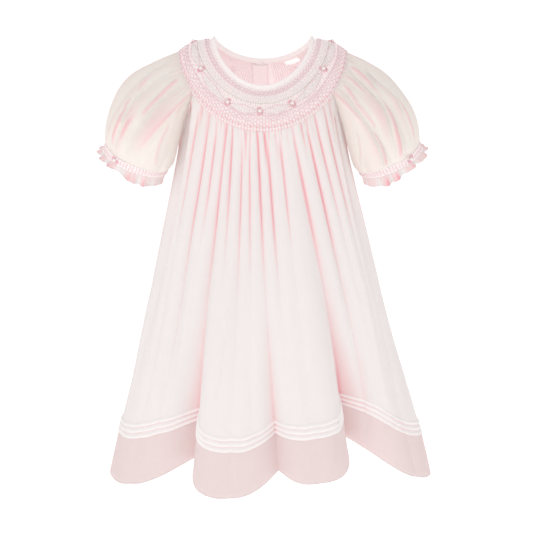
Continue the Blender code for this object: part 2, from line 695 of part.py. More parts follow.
def button(number, down):
    """A round button with a dished face, on the placket."""
    across = np.array([-0.5, 0.0, 0.5])
    above, here, below = (back_point(down + step, across) for step in (-0.02, 0.0, 0.02))
    out = unit(np.cross(below[1] - above[1], here[0] - here[2]))
    mesh = bpy.data.meshes.new("button_%d" % number)
    disc = bmesh.new()
    bmesh.ops.create_cone(
        disc,
        cap_ends=True,
        segments=20,
        radius1=BUTTON_RADIUS * MM,
        radius2=BUTTON_RADIUS * MM,
        depth=BUTTON_THICKNESS * MM,
    )
    disc.faces.ensure_lookup_table()
    face = max(disc.faces, key=lambda f: f.calc_center_median().z)
    bmesh.ops.inset_region(disc, faces=[face], thickness=1.1 * MM)
    bmesh.ops.translate(disc, verts=face.verts, vec=(0.0, 0.0, -BUTTON_DISH * MM))
    disc.to_mesh(mesh)
    disc.free()
    piece = add_object("button_%d" % number, mesh, "button")
    stand = LAID_ON + CLOTH / 2.0 + SEAM + BUTTON_THICKNESS / 2.0
    piece.location = (here[1] + out * stand) * MM
    piece.rotation_mode = "QUATERNION"
    piece.rotation_quaternion = Vector((0.0, 0.0, 1.0)).rotation_difference(Vector(out))
    return piece


def neck_label():
    """A small plain label sewn inside the back of the neck."""
    width = math.degrees(LABEL_WIDTH / NECK["half_width"])
    angle = np.radians(np.linspace(LABEL_DEG - width / 2.0, LABEL_DEG + width / 2.0, 4))
    shares = np.linspace(0.03, LABEL_DROP / 48.0, 3)
    grid = np.array([yoke_surface(angle, share) for share in shares])
    inside = normals_of(grid, False) * -LAID_UNDER
    return sheet("neck_label", grid + inside, False, "label", 1.0)


def build():
    for old in list(bpy.data.objects):
        bpy.data.objects.remove(old)
    scene_collection = bpy.context.scene.collection
    scene_collection.children.link(dress)
    rows = [row[0] for row in VALLEYS]
    right_side, left_side, last = rows.index(-1.0), rows.index(1.0), len(rows) - 1
    hair = 0.012  # share of a fold that leaves half a seam at a panel's side edge
    body_panel("back_right_panel", 0, right_side, hair)
    body_panel("front_panel", right_side, left_side, hair)
    body_panel("back_left_panel", left_side, last, hair)
    smocked_yoke()
    neck_binding()
    for side in ("left", "right"):
        sleeve(side)
        cuff(side)
        ruffle(side)
    back_strip("placket", PLACKET_WIDTH, 0.0, LAID_ON, 0.02, 1.0 + PLACKET_END)
    back_strip("placket_underlap", UNDERLAP_WIDTH, UNDERLAP_SHIFT, -LAID_UNDER, 0.05, 0.98 + PLACKET_END)
    for number, down in enumerate(BUTTON_PLACES, start=1):
        button(number, down)
    neck_label()


dress = bpy.data.collections.new("smocked_dress")
build()
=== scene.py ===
# %% [markdown]
# A child's smocked bishop dress, seen as it hangs when worn, with no wearer. This lesson dresses
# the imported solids: every cloth piece becomes a thin shell with its gathers, folds and sewing.
# The solids and this script share one frame, so each form is worked out here from the same sizes
# as its solid, only on a finer grid.

# %% Load the frame
import math
import random

import bpy
import numpy as np
from mathutils import Matrix, Vector


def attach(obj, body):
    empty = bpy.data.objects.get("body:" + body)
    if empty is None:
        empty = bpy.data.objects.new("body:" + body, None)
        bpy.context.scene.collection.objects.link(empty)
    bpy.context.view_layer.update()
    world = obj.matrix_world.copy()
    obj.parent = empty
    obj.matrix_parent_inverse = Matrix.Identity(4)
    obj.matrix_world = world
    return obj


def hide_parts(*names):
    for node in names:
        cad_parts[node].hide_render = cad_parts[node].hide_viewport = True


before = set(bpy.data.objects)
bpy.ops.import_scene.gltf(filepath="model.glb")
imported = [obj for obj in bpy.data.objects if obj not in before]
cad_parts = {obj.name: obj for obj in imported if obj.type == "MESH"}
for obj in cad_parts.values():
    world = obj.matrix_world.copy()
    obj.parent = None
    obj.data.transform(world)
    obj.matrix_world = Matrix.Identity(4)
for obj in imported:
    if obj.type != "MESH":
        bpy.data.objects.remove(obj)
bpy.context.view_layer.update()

MM = 0.001


# %% [markdown]
# The dress is made of rings. One oval goes round the neck, one round the lower edge of the
# smocking, and one round the hem. A ring needs only its half width, its depth to the front and to
# the back, and how far it drops between the shoulder and the middle.

# %% Rings of the dress, in millimetres
CLOTH = 1.2  # the solid's wall
NECK = dict(
    half_width=51.5, front=52.0, back=43.0, side_z=-6.0, front_drop=44.5, back_drop=27.0, power=1.35
)
YOKE_EDGE = dict(
    half_width=84.5, front=74.0, back=66.0, side_z=-18.0, front_drop=68.0, back_drop=42.0, power=1.2
)
YOKE_CROWN = 3.5
RAGLAN_DEG = 55.0
UNDERARM = np.array([86.0, 0.0, -112.0])


def unit(vectors):
    """Vectors of length one."""
    return vectors / np.maximum(np.linalg.norm(vectors, axis=-1, keepdims=True), 1e-9)


def mix(low, high, share):
    return low + (high - low) * share


def smooth(share):
    """Eases from 0 to 1."""
    share = np.clip(share, 0.0, 1.0)
    return share * share * (3.0 - 2.0 * share)


def oval(ring, angle):
    """Points of a ring, at angles in radians from the middle front towards +X."""
    forward = np.cos(angle)
    depth = np.where(forward > 0, ring["front"], ring["back"])
    drop = np.where(forward > 0, ring["front_drop"], ring["back_drop"])
    height = ring["side_z"] - drop * np.abs(forward) ** ring["power"]
    return np.stack([ring["half_width"] * np.sin(angle), -depth * forward, height], axis=-1)


def yoke_surface(angle, share):
    """The yoke's surface, from the neck at share 0 to the lower edge of the smocking at 1."""
    angle, share = np.broadcast_arrays(np.asarray(angle, float), np.asarray(share, float))
    neck, edge = oval(NECK, angle), oval(YOKE_EDGE, angle)
    step = 0.01
    around = oval(YOKE_EDGE, angle + step) - oval(YOKE_EDGE, angle - step)
    out = unit(-np.cross(around, edge - neck))
    crown = YOKE_CROWN * 4.0 * share * (1.0 - share)
    return mix(neck, edge, share[..., None]) + out * crown[..., None]


def raglan(share, rear):
    """Points of a raglan seam on the wearer's left, from the yoke at share 0 to the underarm."""
    angle = math.radians(180.0 - RAGLAN_DEG if rear else RAGLAN_DEG)
    return mix(oval(YOKE_EDGE, np.full(np.shape(share), angle)), UNDERARM, share[..., None])


print("yoke depth at the middle front:", round(float(np.linalg.norm(
    yoke_surface(0.0, 1.0) - yoke_surface(0.0, 0.0))), 1), "mm")


# %% [markdown]
# The skirt is one surface between the lower edge of the yoke and the hem. Its folds could be
# simulated, but the photo shows where each one lies, so they are placed one by one: a table has one
# row for each valley, with where it starts, where it ends, and how deep and wide it is. A station
# counts round the body: 0 is the middle front, 1 and -1 the sides, and 2 the middle back.

# %% The fold table of the solids, with the left fold's hem 5 mm lower, as the photo shows it
YOKE_SHARE = 0.58  # the share of each quarter that is gathered into the yoke
TOP_GIRTH = 120.0  # millimetres to one station at the top, and at the hem
HEM_GIRTH = 236.0
HEM_HALF_WIDTH = 174.5
HEM_FRONT = 122.0
HEM_BACK = 112.0
HEM_SWAY = 8.0
SIDE_POWER = 1.06
TOP_PUFF = 2.0
FOLD_LIFT = 0.3
HEM_HEIGHTS = [
    ("middle back, right", -2.0, -468.0),
    ("right back", -1.5, -464.0),
    ("right side", -1.0, -470.0),
    ("right lobe", -0.62, -463.0),
    ("right fold", -0.37, -448.0),
    ("middle lobe", -0.15, -455.0),
    ("left of middle", 0.2, -437.0),
    ("left fold", 0.46, -437.0),
    ("left lobe", 0.77, -466.0),
    ("left side", 1.0, -474.0),
    ("left back", 1.5, -466.0),
    ("middle back, left", 2.0, -468.0),
]
VALLEY_COLUMNS = (
    "top", "hem", "deep_top", "deep_mid", "deep_hem", "reach_top", "reach_right", "reach_left"
)
VALLEYS = [
    (-2.0, -2.0, 0.0, 0.0, 0.0, 4.0, 10.0, 10.0),
    (-1.88, -1.87, 5.0, 6.0, 8.0, 4.0, 12.0, 10.0),
    (-1.77, -1.74, 4.0, 8.0, 40.0, 4.0, 26.0, 9.0),
    (-1.66, -1.61, 5.0, 4.0, 0.0, 4.0, 12.0, 12.0),
    (-1.54, -1.49, 4.0, 6.0, 6.0, 4.0, 14.0, 14.0),
    (-1.44, -1.33, 5.0, 9.0, 36.0, 5.0, 9.0, 28.0),
    (-1.22, -1.16, 7.0, 5.0, 0.0, 8.0, 16.0, 16.0),
    (-1.0, -1.0, 0.0, 0.0, 0.0, 4.0, 10.0, 10.0),
    (-0.66, -0.80, 9.0, 4.0, 0.0, 8.0, 18.0, 18.0),
    (-0.505, -0.68, 4.0, 4.0, 2.0, 5.0, 12.0, 10.0),
    (-0.398, -0.58, 5.0, 9.0, 2.0, 5.0, 15.0, 12.0),
    (-0.329, -0.475, 4.0, 1.0, 0.0, 4.0, 10.0, 10.0),
    (-0.260, -0.385, 5.0, 17.0, 52.0, 4.0, 38.0, 13.0),
    (-0.211, -0.250, 4.0, 2.0, 0.0, 3.5, 8.0, 8.0),
    (-0.143, -0.160, 5.0, 5.0, 2.0, 4.0, 9.0, 9.0),
    (-0.095, -0.070, 5.0, 3.0, 0.0, 4.0, 9.0, 9.0),
    (-0.040, 0.034, 5.0, 10.0, 38.0, 4.0, 22.0, 15.0),
    (0.028, 0.110, 5.0, 5.0, 0.0, 4.0, 9.0, 9.0),
    (0.115, 0.190, 4.0, 3.0, 1.0, 4.0, 9.0, 9.0),
    (0.203, 0.425, 5.0, 15.0, 68.0, 4.0, 19.0, 50.0),
    (0.305, 0.560, 5.0, 8.0, 4.0, 4.0, 10.0, 14.0),
    (0.385, 0.640, 4.0, 3.0, 0.0, 4.0, 12.0, 12.0),
    (0.475, 0.710, 5.0, 5.0, 0.0, 4.0, 12.0, 12.0),
    (0.56, 0.80, 6.0, 5.0, 4.0, 5.0, 14.0, 12.0),
    (1.0, 1.0, 0.0, 0.0, 0.0, 4.0, 10.0, 10.0),
    (1.25, 1.18, 7.0, 5.0, 0.0, 8.0, 16.0, 16.0),
    (1.46, 1.36, 5.0, 9.0, 34.0, 5.0, 26.0, 9.0),
    (1.56, 1.51, 4.0, 4.0, 4.0, 4.0, 12.0, 12.0),
    (1.67, 1.64, 5.0, 6.0, 2.0, 4.0, 12.0, 12.0),
    (1.78, 1.77, 4.0, 9.0, 42.0, 4.0, 9.0, 28.0),
    (1.89, 1.88, 5.0, 4.0, 4.0, 4.0, 12.0, 12.0),
    (2.0, 2.0, 0.0, 0.0, 0.0, 4.0, 10.0, 10.0),
]
VALLEY = {name: np.array(VALLEYS)[:, i] for i, name in enumerate(VALLEY_COLUMNS)}
VALLEY_SHARPNESS = 1.35
GATHER_LEVEL = 0.10
MIDDLE_LEVEL = 0.50
PLACKET_WIDTH = 14.0
PLACKET_END = 0.27
TUCK_HEIGHTS = (61.0, 55.0, 49.0)
PANEL_LENGTH = 375.0
print("valleys round the skirt:", len(VALLEYS))


# %% [markdown]
# The top edge of the skirt follows the yoke, then the raglan seams down to the underarm. The hem is
# an oval whose height comes from its table. A curve that passes smoothly through the rows of a
# table keeps the hem free of the corners that straight lines between the rows would give.

# %% The skirt's two edges
def curve_through(at, places, values):
    """Values between the rows of a table, on a curve through the rows with no corners."""
    row = np.clip(np.searchsorted(places, at, side="right") - 1, 0, len(places) - 2)
    span = places[row + 1] - places[row]
    share = (at - places[row]) / span
    slope = np.gradient(values, places)
    low, high = slope[row] * span, slope[row + 1] * span
    rise = values[row + 1] - values[row]
    rest = low * (1.0 - share) - high * share + rise * (2.0 * share - 1.0)
    return values[row] + rise * share + share * (1.0 - share) * rest


def off_middle(station):
    """How far a station is from the nearer middle line, front or back."""
    place = np.abs(station)
    return np.where(place > 1.0, 2.0 - place, place)


def skirt_top(station):
    """The upper edge of the body panels: yoke, raglan seam, underarm, raglan seam, yoke."""
    side = np.where(station < 0, -1.0, 1.0)
    rear = np.abs(station) > 1.0
    from_middle = off_middle(station)
    under_yoke = np.radians(RAGLAN_DEG) * np.minimum(from_middle / YOKE_SHARE, 1.0)
    angle = np.where(rear, math.pi - under_yoke, under_yoke)
    down = np.clip((from_middle - YOKE_SHARE) / (1.0 - YOKE_SHARE), 0.0, 1.0)
    seam = np.where(rear[..., None], raglan(down, True), raglan(down, False))
    points = np.where((from_middle <= YOKE_SHARE)[..., None], oval(YOKE_EDGE, angle), seam)
    points[..., 0] *= side
    return points


def skirt_hem(station):
    """The hem's outer reach, and the level direction that points away from the body."""
    angle = station * math.pi / 2.0
    forward = np.cos(angle)
    depth = np.where(forward > 0, HEM_FRONT, HEM_BACK)
    _, places, heights = zip(*HEM_HEIGHTS)
    height = curve_through(station, np.array(places), np.array(heights))
    points = np.stack([HEM_SWAY + HEM_HALF_WIDTH * np.sin(angle), -depth * forward, height], axis=-1)
    level_out = [depth * np.sin(angle), -HEM_HALF_WIDTH * forward, np.zeros_like(angle)]
    return points, unit(np.stack(level_out, axis=-1))


# %% [markdown]
# Each valley runs from its place at the yoke to its place at the hem. Its section is a soft
# trough, wider on one side where a fold leans over. The troughs are simply added up, so that close
# valleys merge, as folds of cloth do.

# %% The folds between the edges
def valley_stations(level):
    """Where each valley is at a level, 0 at the yoke and 1 at the hem."""
    return mix(VALLEY["top"], VALLEY["hem"], level**0.9)


def depth_at(top, middle, hem, level):
    """How a valley's depth changes on its way down."""
    gathers = np.array([0.35 * top, top, middle, hem])
    levels = np.array([0.0, GATHER_LEVEL, MIDDLE_LEVEL, 1.0])
    return max(0.0, float(curve_through(np.array(min(level, 0.9999)), levels, gathers)))


def placket_mask(station, level, girth):
    """0 where the placket keeps the cloth flat, 1 elsewhere."""
    free = smooth(((2.0 - np.abs(station)) * girth - PLACKET_WIDTH * 0.75) / 8.0)
    return mix(free, 1.0, smooth((level - PLACKET_END) / 0.12))


def folds(station, level):
    """How far the cloth lies behind its outer reach, from all the valleys round it."""
    girth = mix(TOP_GIRTH, HEM_GIRTH, level)
    total = np.zeros_like(station)
    for i, centre in enumerate(valley_stations(level)):
        deep = depth_at(VALLEY["deep_top"][i], VALLEY["deep_mid"][i], VALLEY["deep_hem"][i], level)
        if deep == 0.0:
            continue
        away = (station - centre + 2.0) % 4.0 - 2.0
        sides = np.where(away < 0, VALLEY["reach_right"][i], VALLEY["reach_left"][i])
        reach = mix(VALLEY["reach_top"][i], sides, level**1.5)
        total += deep * np.exp(-((np.abs(away) * girth / reach) ** VALLEY_SHARPNESS))
    return total * placket_mask(station, level, girth)


# %% [markdown]
# The solids hold the folds that show from a step away. Up close batiste has more: each little
# pleat of the smocking runs on for a centimetre or two and then opens out, some gathers run a
# third of the way down, and the loose cloth lower down is never quite even. These are added to
# the shell alone. A seeded generator places them, so every run gives the same dress.

# %% Finer gathers and the unevenness of loose cloth
PLEATS = 176  # pleats round the whole yoke
PLEAT_HEIGHT = 0.9
GATHER_COUNT = 92  # loose gathers round the skirt
PLEAT_FADE = 9.0  # a pleat dies out this many millimetres below the smocking
chance = random.Random(7)
GATHERS = [
    dict(
        station=-2.0 + 4.0 * (i + chance.uniform(-0.38, 0.38)) / GATHER_COUNT,
        deep=chance.uniform(0.5, 4.0),
        reach=chance.uniform(1.3, 4.2),
        end=chance.choice((0.10, 0.16, 0.24, 0.34, 0.5)) * chance.uniform(0.8, 1.2),
        drift=chance.uniform(-0.012, 0.012),
    )
    for i in range(GATHER_COUNT)
]
RIPPLES = [
    dict(
        around=chance.uniform(7.0, 26.0),
        down=chance.uniform(-9.0, 9.0),
        start=chance.uniform(0.0, 6.28),
        height=chance.uniform(0.25, 0.6),
    )
    for _ in range(9)
]
CREASES = [
    # station and level at each end, height in millimetres (minus is a valley), reach
    (-0.175, 0.38, -0.215, 0.72, 1.5, 2.2),
    (-0.405, 0.38, -0.50, 0.78, 1.3, 3.0),
    (0.115, 0.10, 0.150, 0.40, 1.2, 2.4),
    (0.30, 0.80, 0.235, 0.97, 2.6, 4.0),
    (0.262, 0.86, 0.315, 0.93, -1.8, 3.2),
    (-0.10, 0.55, -0.06, 0.86, -1.2, 6.0),
    (0.13, 0.45, 0.165, 0.80, -1.4, 6.0),
    (0.62, 0.40, 0.72, 0.84, -1.8, 5.0),
    (-0.70, 0.34, -0.82, 0.80, -1.6, 5.0),
    (0.90, 0.20, 0.95, 0.62, -1.6, 5.0),
    (-0.90, 0.24, -0.93, 0.66, -1.5, 5.0),
    (1.20, 0.30, 1.12, 0.80, -2.0, 5.0),
    (-1.28, 0.30, -1.16, 0.76, -2.0, 5.0),
    (1.62, 0.45, 1.60, 0.85, 1.4, 4.0),
    (-1.63, 0.40, -1.60, 0.80, 1.4, 4.0),
]


# %% [markdown]
# The pleats of the smocking don't end at its lowest row. On the real dress they are the same cloth
# as the skirt, so the skirt's first centimetre carries the same pleats, at the same angles round
# the yoke, and lets them die out.

# %% Pleats that run on below the yoke
def yoke_angle_of(station):
    """The angle on the yoke where the cloth at a station is gathered in."""
    under = np.radians(RAGLAN_DEG) * off_middle(station) / YOKE_SHARE
    return np.sign(station) * np.where(np.abs(station) > 1.0, math.pi - under, under)


def pleat_profile(phase):
    """The rounded back of a pleat: 0 in the valley between two pleats, 1 on the crest."""
    across = 2.0 * (phase % 1.0) - 1.0
    return np.sqrt(np.maximum(0.0, 1.0 - across * across))


def yoke_out(angle):
    """The direction away from the cloth at the yoke's lower edge."""
    step = 0.01
    around = oval(YOKE_EDGE, angle + step) - oval(YOKE_EDGE, angle - step)
    return unit(-np.cross(around, oval(YOKE_EDGE, angle) - oval(NECK, angle)))


def pleats_below_yoke(ring_angle, below):
    """The smocking's pleats running on below it, and dying out."""
    phase = ring_angle / (2.0 * math.pi) * PLEATS
    return (pleat_profile(phase) * 1.25 - 0.2) * PLEAT_HEIGHT * math.exp(-below / PLEAT_FADE)


# %% [markdown]
# All the small forms are heights on one surface: pleats, loose gathers, slow ripples and the
# creases of the table. Sculpting could give them too, but heights that are worked out stay the
# same in each run, and fade to nothing at the seams, where the neighbouring pieces have to meet.

# %% All the small heights together
def fine_relief(station, level):
    """Small heights of the cloth at one level, outwards, in millimetres."""
    girth = mix(TOP_GIRTH, HEM_GIRTH, level)
    below = level * PANEL_LENGTH
    gathered = smooth((YOKE_SHARE - off_middle(station)) / 0.03)
    height = pleats_below_yoke(yoke_angle_of(station), below) * gathered
    off_seam = np.maximum(gathered, 0.25 * smooth(below / 8.0))
    spread = level**0.9
    for gather in GATHERS:
        strength = gather["deep"] * smooth(below / 5.0 + 0.35) * (1.0 - smooth(level / gather["end"]))
        if strength <= 0.0:
            continue
        nearest = np.interp(gather["station"], VALLEY["top"], VALLEY["hem"])
        centre = mix(gather["station"], nearest + gather["drift"], spread)
        away = np.abs((station - centre + 2.0) % 4.0 - 2.0) * girth
        gather_reach = gather["reach"] * (1.0 + 1.2 * level / gather["end"])
        height -= strength * np.exp(-((away / gather_reach) ** 1.5)) * off_seam
    loose = float(smooth((level - 0.12) / 0.4))
    for ripple in RIPPLES:
        swing = station * ripple["around"] + level * ripple["down"] + ripple["start"]
        height += loose * ripple["height"] * np.sin(swing)
    for first, start, last, end, rise, reach in CREASES:
        along = (level - start) / (end - start)
        if not -0.15 < along < 1.15:
            continue
        centre = mix(first, last, along)
        fade = float(smooth((along + 0.15) / 0.35) * smooth((1.15 - along) / 0.35))
        away = np.abs(station - centre) * girth
        height += rise * fade * np.exp(-((away / reach) ** 1.4))
    return height * placket_mask(station, level, girth)


def skirt_point(station, level, fine=True):
    """The surface of the body panels at a level, with or without the fine relief."""
    station = np.asarray(station, float)
    top = skirt_top(station)
    hem, out = skirt_hem(station)
    down = hem - top
    sideways = np.abs(np.sin(station * math.pi / 2.0)) ** 4
    eased = level ** mix(1.0, SIDE_POWER, sideways)[..., None]
    points = top + down * np.concatenate([eased, eased, np.full_like(eased, level)], axis=-1)
    swelling = TOP_PUFF * math.exp(-level / 0.12) * (1.0 - math.exp(-level / 0.03))
    puff = swelling * (off_middle(station) < YOKE_SHARE)
    behind = folds(station, level)
    points += out * (puff - behind)[..., None]
    points[..., 2] += FOLD_LIFT * behind * level**2
    if fine:
        away = unit(mix(yoke_out(yoke_angle_of(station)), out, smooth(level * PANEL_LENGTH / 14.0)))
        points += away * fine_relief(station, level)[..., None]
    return points


print("gathers:", len(GATHERS), "creases:", len(CREASES))


# %% [markdown]
# Thin cotton looks cream where the light passes one layer and pink where layers crowd together
# in a fold, and the finish paints that pink shade into the cloth's colour. To give the finish
# something to follow, each shell carries a number at every point, called fold: 0 on a ridge and 1
# deep in a valley, which is the amount of painted shade. It is measured on the mesh itself, as
# the distance between a point and the smoothed surface round it.

# %% From grids of points to cloth
def normals_of(grid, closed):
    """Normals of a grid of points, rows down and columns round."""
    if closed:
        around = np.roll(grid, -1, axis=1) - np.roll(grid, 1, axis=1)
    else:
        around = np.gradient(grid, axis=1)
    return unit(np.cross(np.gradient(grid, axis=0), around))


def blurred(grid, width, axis, closed):
    """A grid smoothed along one axis over about that many points."""
    reach = int(width * 2.5)
    weights = np.exp(-0.5 * (np.arange(-reach, reach + 1) / width) ** 2)
    weights /= weights.sum()
    mode = "wrap" if closed else "edge"
    pads = [(0, 0)] * grid.ndim
    pads[axis] = (reach, reach)
    padded = np.pad(grid, pads, mode=mode)
    total = np.zeros_like(grid)
    for i, weight in enumerate(weights):
        total += weight * np.take(padded, range(i, i + grid.shape[axis]), axis=axis)
    return total


# %% [markdown]
# Pale, sheer cloth looks pinker in a fold, where the light has passed through it more than once.
# The finish paints that pink shade into the colour, and needs a number for it. It is taken from
# the form itself: a point that lies behind the smoothed surface is in a valley, and one that lies
# before it is on a ridge.

# %% A number for how deep in a fold each point lies
def hollowness(grid, closed, width):
    """How far each point lies behind the surface smoothed over a number of columns, in mm."""
    soft = blurred(grid, width, 1, closed)
    return np.sum((soft - grid) * normals_of(grid, closed), axis=-1)


def fold_values(grid, closed, fine_width, broad_width, fine_gain, broad_gain, base=0.2):
    """The fold number of every point, the amount of painted shade, from narrow creases and from broad
    valleys.
    """
    narrow = hollowness(grid, closed, fine_width) * fine_gain
    broad = hollowness(grid, closed, broad_width) * broad_gain
    value = base + np.clip(narrow, -0.3, 0.7) + np.clip(broad, -0.35, 0.6)
    return np.clip(blurred(value, 1.0, 0, False), 0.0, 1.0)


# %% [markdown]
# Blender's operators work on what is selected and active, so three small helpers keep that clear.
# The shell itself starts as one layer of faces on the grid, and a Solidify modifier gives it its
# wall, with a second material slot for the inside of the dress.

# %% The grid becomes a shell
def deselect_all():
    """Nothing selected and nothing active, before an operator adds or edits a piece."""
    if bpy.context.object and bpy.context.object.mode != "OBJECT":
        bpy.ops.object.mode_set(mode="OBJECT")
    bpy.ops.object.select_all(action="DESELECT")


def make_active(piece):
    deselect_all()
    piece.select_set(True)
    bpy.context.view_layer.objects.active = piece


def apply_modifiers(piece):
    """The piece's modifiers, applied in order."""
    make_active(piece)
    for modifier in list(piece.modifiers):
        bpy.ops.object.modifier_apply(modifier=modifier.name)


def grid_area(grid, closed):
    """The area of a grid of points, in square metres."""
    if closed:
        grid = np.concatenate([grid, grid[:, :1]], axis=1)
    across, along = grid[:-1, 1:] - grid[:-1, :-1], grid[1:, :-1] - grid[:-1, :-1]
    return float(np.linalg.norm(np.cross(across, along), axis=-1).sum()) * MM * MM


def cloth_piece(name, grid, closed, values, thickness=0.5):
    """A cloth shell on a grid of points, with a UV map in metres of cloth and its numbers for
    the finish as attributes."""
    rows, columns = grid.shape[:2]
    mesh = bpy.data.meshes.new(name)
    index = np.arange(rows * columns).reshape(rows, columns)
    following = np.roll(index, -1, axis=1)
    quads = np.stack([index[:-1], index[1:], following[1:], following[:-1]], axis=-1)
    if not closed:
        quads = quads[:, :-1]
    mesh.from_pydata((grid.reshape(-1, 3) * MM).tolist(), [], quads.reshape(-1, 4).tolist())
    across = np.linalg.norm(np.roll(grid, -1, axis=1) - grid, axis=-1).mean(axis=0) * MM
    along = np.linalg.norm(np.diff(grid, axis=0), axis=-1).mean(axis=1) * MM
    u = np.tile(np.concatenate([[0.0], np.cumsum(across)[:-1]]), rows)
    v = np.repeat(np.concatenate([[0.0], -np.cumsum(along)]), columns)
    corners = np.empty(len(mesh.loops), dtype=np.int64)
    mesh.loops.foreach_get("vertex_index", corners)
    layer = mesh.uv_layers.new(name="cloth")
    layer.data.foreach_set("uv", np.stack([u[corners], v[corners]], axis=-1).ravel())
    for label, value in values.items():
        attribute = mesh.attributes.new(label, "FLOAT", "POINT")
        attribute.data.foreach_set("value", np.broadcast_to(value, (rows, columns)).ravel())
    piece = bpy.data.objects.new(name, mesh)
    bpy.context.scene.collection.objects.link(piece)
    mesh.materials.append(None)
    mesh.materials.append(None)
    wall = piece.modifiers.new("wall", "SOLIDIFY")
    wall.thickness = thickness * MM
    wall.offset = 0.0
    wall.material_offset = 1
    apply_modifiers(piece)
    piece.data.shade_smooth()
    print(name, "faces:", len(piece.data.polygons), "cloth area:", round(grid_area(grid, closed), 4))
    return piece


# %% [markdown]
# All the cloth is one fine cotton, so the finishes share node groups. One gives the weave, a
# second the crumple that any washed cotton keeps, and a third turns the fold number into colour,
# painting the shade of the folds into it.
# The shaders stay in the materials, because sheen and roughness differ between cloth, floss
# and pearl.

# %% Node groups that the finishes share
# The ridge colours are the cloth's own; the pinks for valleys and closing folds are painted shade, the
# white for the tucks' edges is a painted highlight, and the hem's pink is its doubled cloth.
CREAM = (0.882, 0.862, 0.848, 1.0)
WARM_CREAM = (0.890, 0.866, 0.820, 1.0)
SHADE_PINK = (0.905, 0.745, 0.750, 1.0)
DEEP_SHADE_PINK = (0.900, 0.540, 0.580, 1.0)
HEM_PINK = (0.835, 0.738, 0.732, 1.0)
HIGHLIGHT_WHITE = (0.965, 0.955, 0.950, 1.0)


def new_group(name, inputs, outputs):
    """An empty shader group with named sockets, and its two end nodes."""
    group = bpy.data.node_groups.new(name, "ShaderNodeTree")
    for label, kind, value in inputs:
        socket = group.interface.new_socket(name=label, in_out="INPUT", socket_type=kind)
        socket.default_value = value
    for label, kind in outputs:
        group.interface.new_socket(name=label, in_out="OUTPUT", socket_type=kind)
    return group, group.nodes.new("NodeGroupInput"), group.nodes.new("NodeGroupOutput")


def math_node(group, operation, *values):
    """A Math node's output. Each value is a number, or the socket that feeds it."""
    node = group.nodes.new("ShaderNodeMath")
    node.operation = operation
    for socket, value in zip(node.inputs, values):
        if isinstance(value, float):
            socket.default_value = value
        else:
            group.links.new(value, socket)
    return node.outputs[0]


def weave_group():
    """The height of a plain weave on the UV map, whose unit is a metre of cloth."""
    group, ends, out = new_group(
        "plain_weave", [("Threads", "NodeSocketFloat", 9000.0)], [("Height", "NodeSocketFloat")]
    )
    place = group.nodes.new("ShaderNodeUVMap")
    place.uv_map = "cloth"
    split = group.nodes.new("ShaderNodeSeparateXYZ")
    group.links.new(place.outputs["UV"], split.inputs[0])
    waves = []
    for axis in ("X", "Y"):
        turn = math_node(group, "MULTIPLY", split.outputs[axis], ends.outputs["Threads"])
        waves.append(math_node(group, "SINE", turn))
    group.links.new(math_node(group, "MULTIPLY", *waves), out.inputs["Height"])
    return group


# %% [markdown]
# Washed batiste is never quite flat. A noise with some distortion gives soft creases, and it uses
# Object coordinates, so it runs on from one piece to the next.

# %% The crumple of washed cloth
def crumple_group():
    """The height of soft creases, large and small, on Object coordinates."""
    group, ends, out = new_group(
        "washed_crumple", [("Scale", "NodeSocketFloat", 85.0)], [("Height", "NodeSocketFloat")]
    )
    nodes, links = group.nodes, group.links
    place = nodes.new("ShaderNodeTexCoord")
    creases = nodes.new("ShaderNodeTexNoise")
    creases.inputs["Detail"].default_value = 3.0
    creases.inputs["Distortion"].default_value = 0.6
    links.new(place.outputs["Object"], creases.inputs["Vector"])
    links.new(ends.outputs["Scale"], creases.inputs["Scale"])
    links.new(creases.outputs["Fac"], out.inputs["Height"])
    return group


# %% [markdown]
# The colour runs from cream on the ridges to pink in the valleys and a deeper pink where a fold
# closes: painted shade. The doubled hem is one tone darker, and the pressed edges of the tucks get
# a nearly white painted highlight. The dye is a little uneven as well, so a slow noise shifts the
# steps.

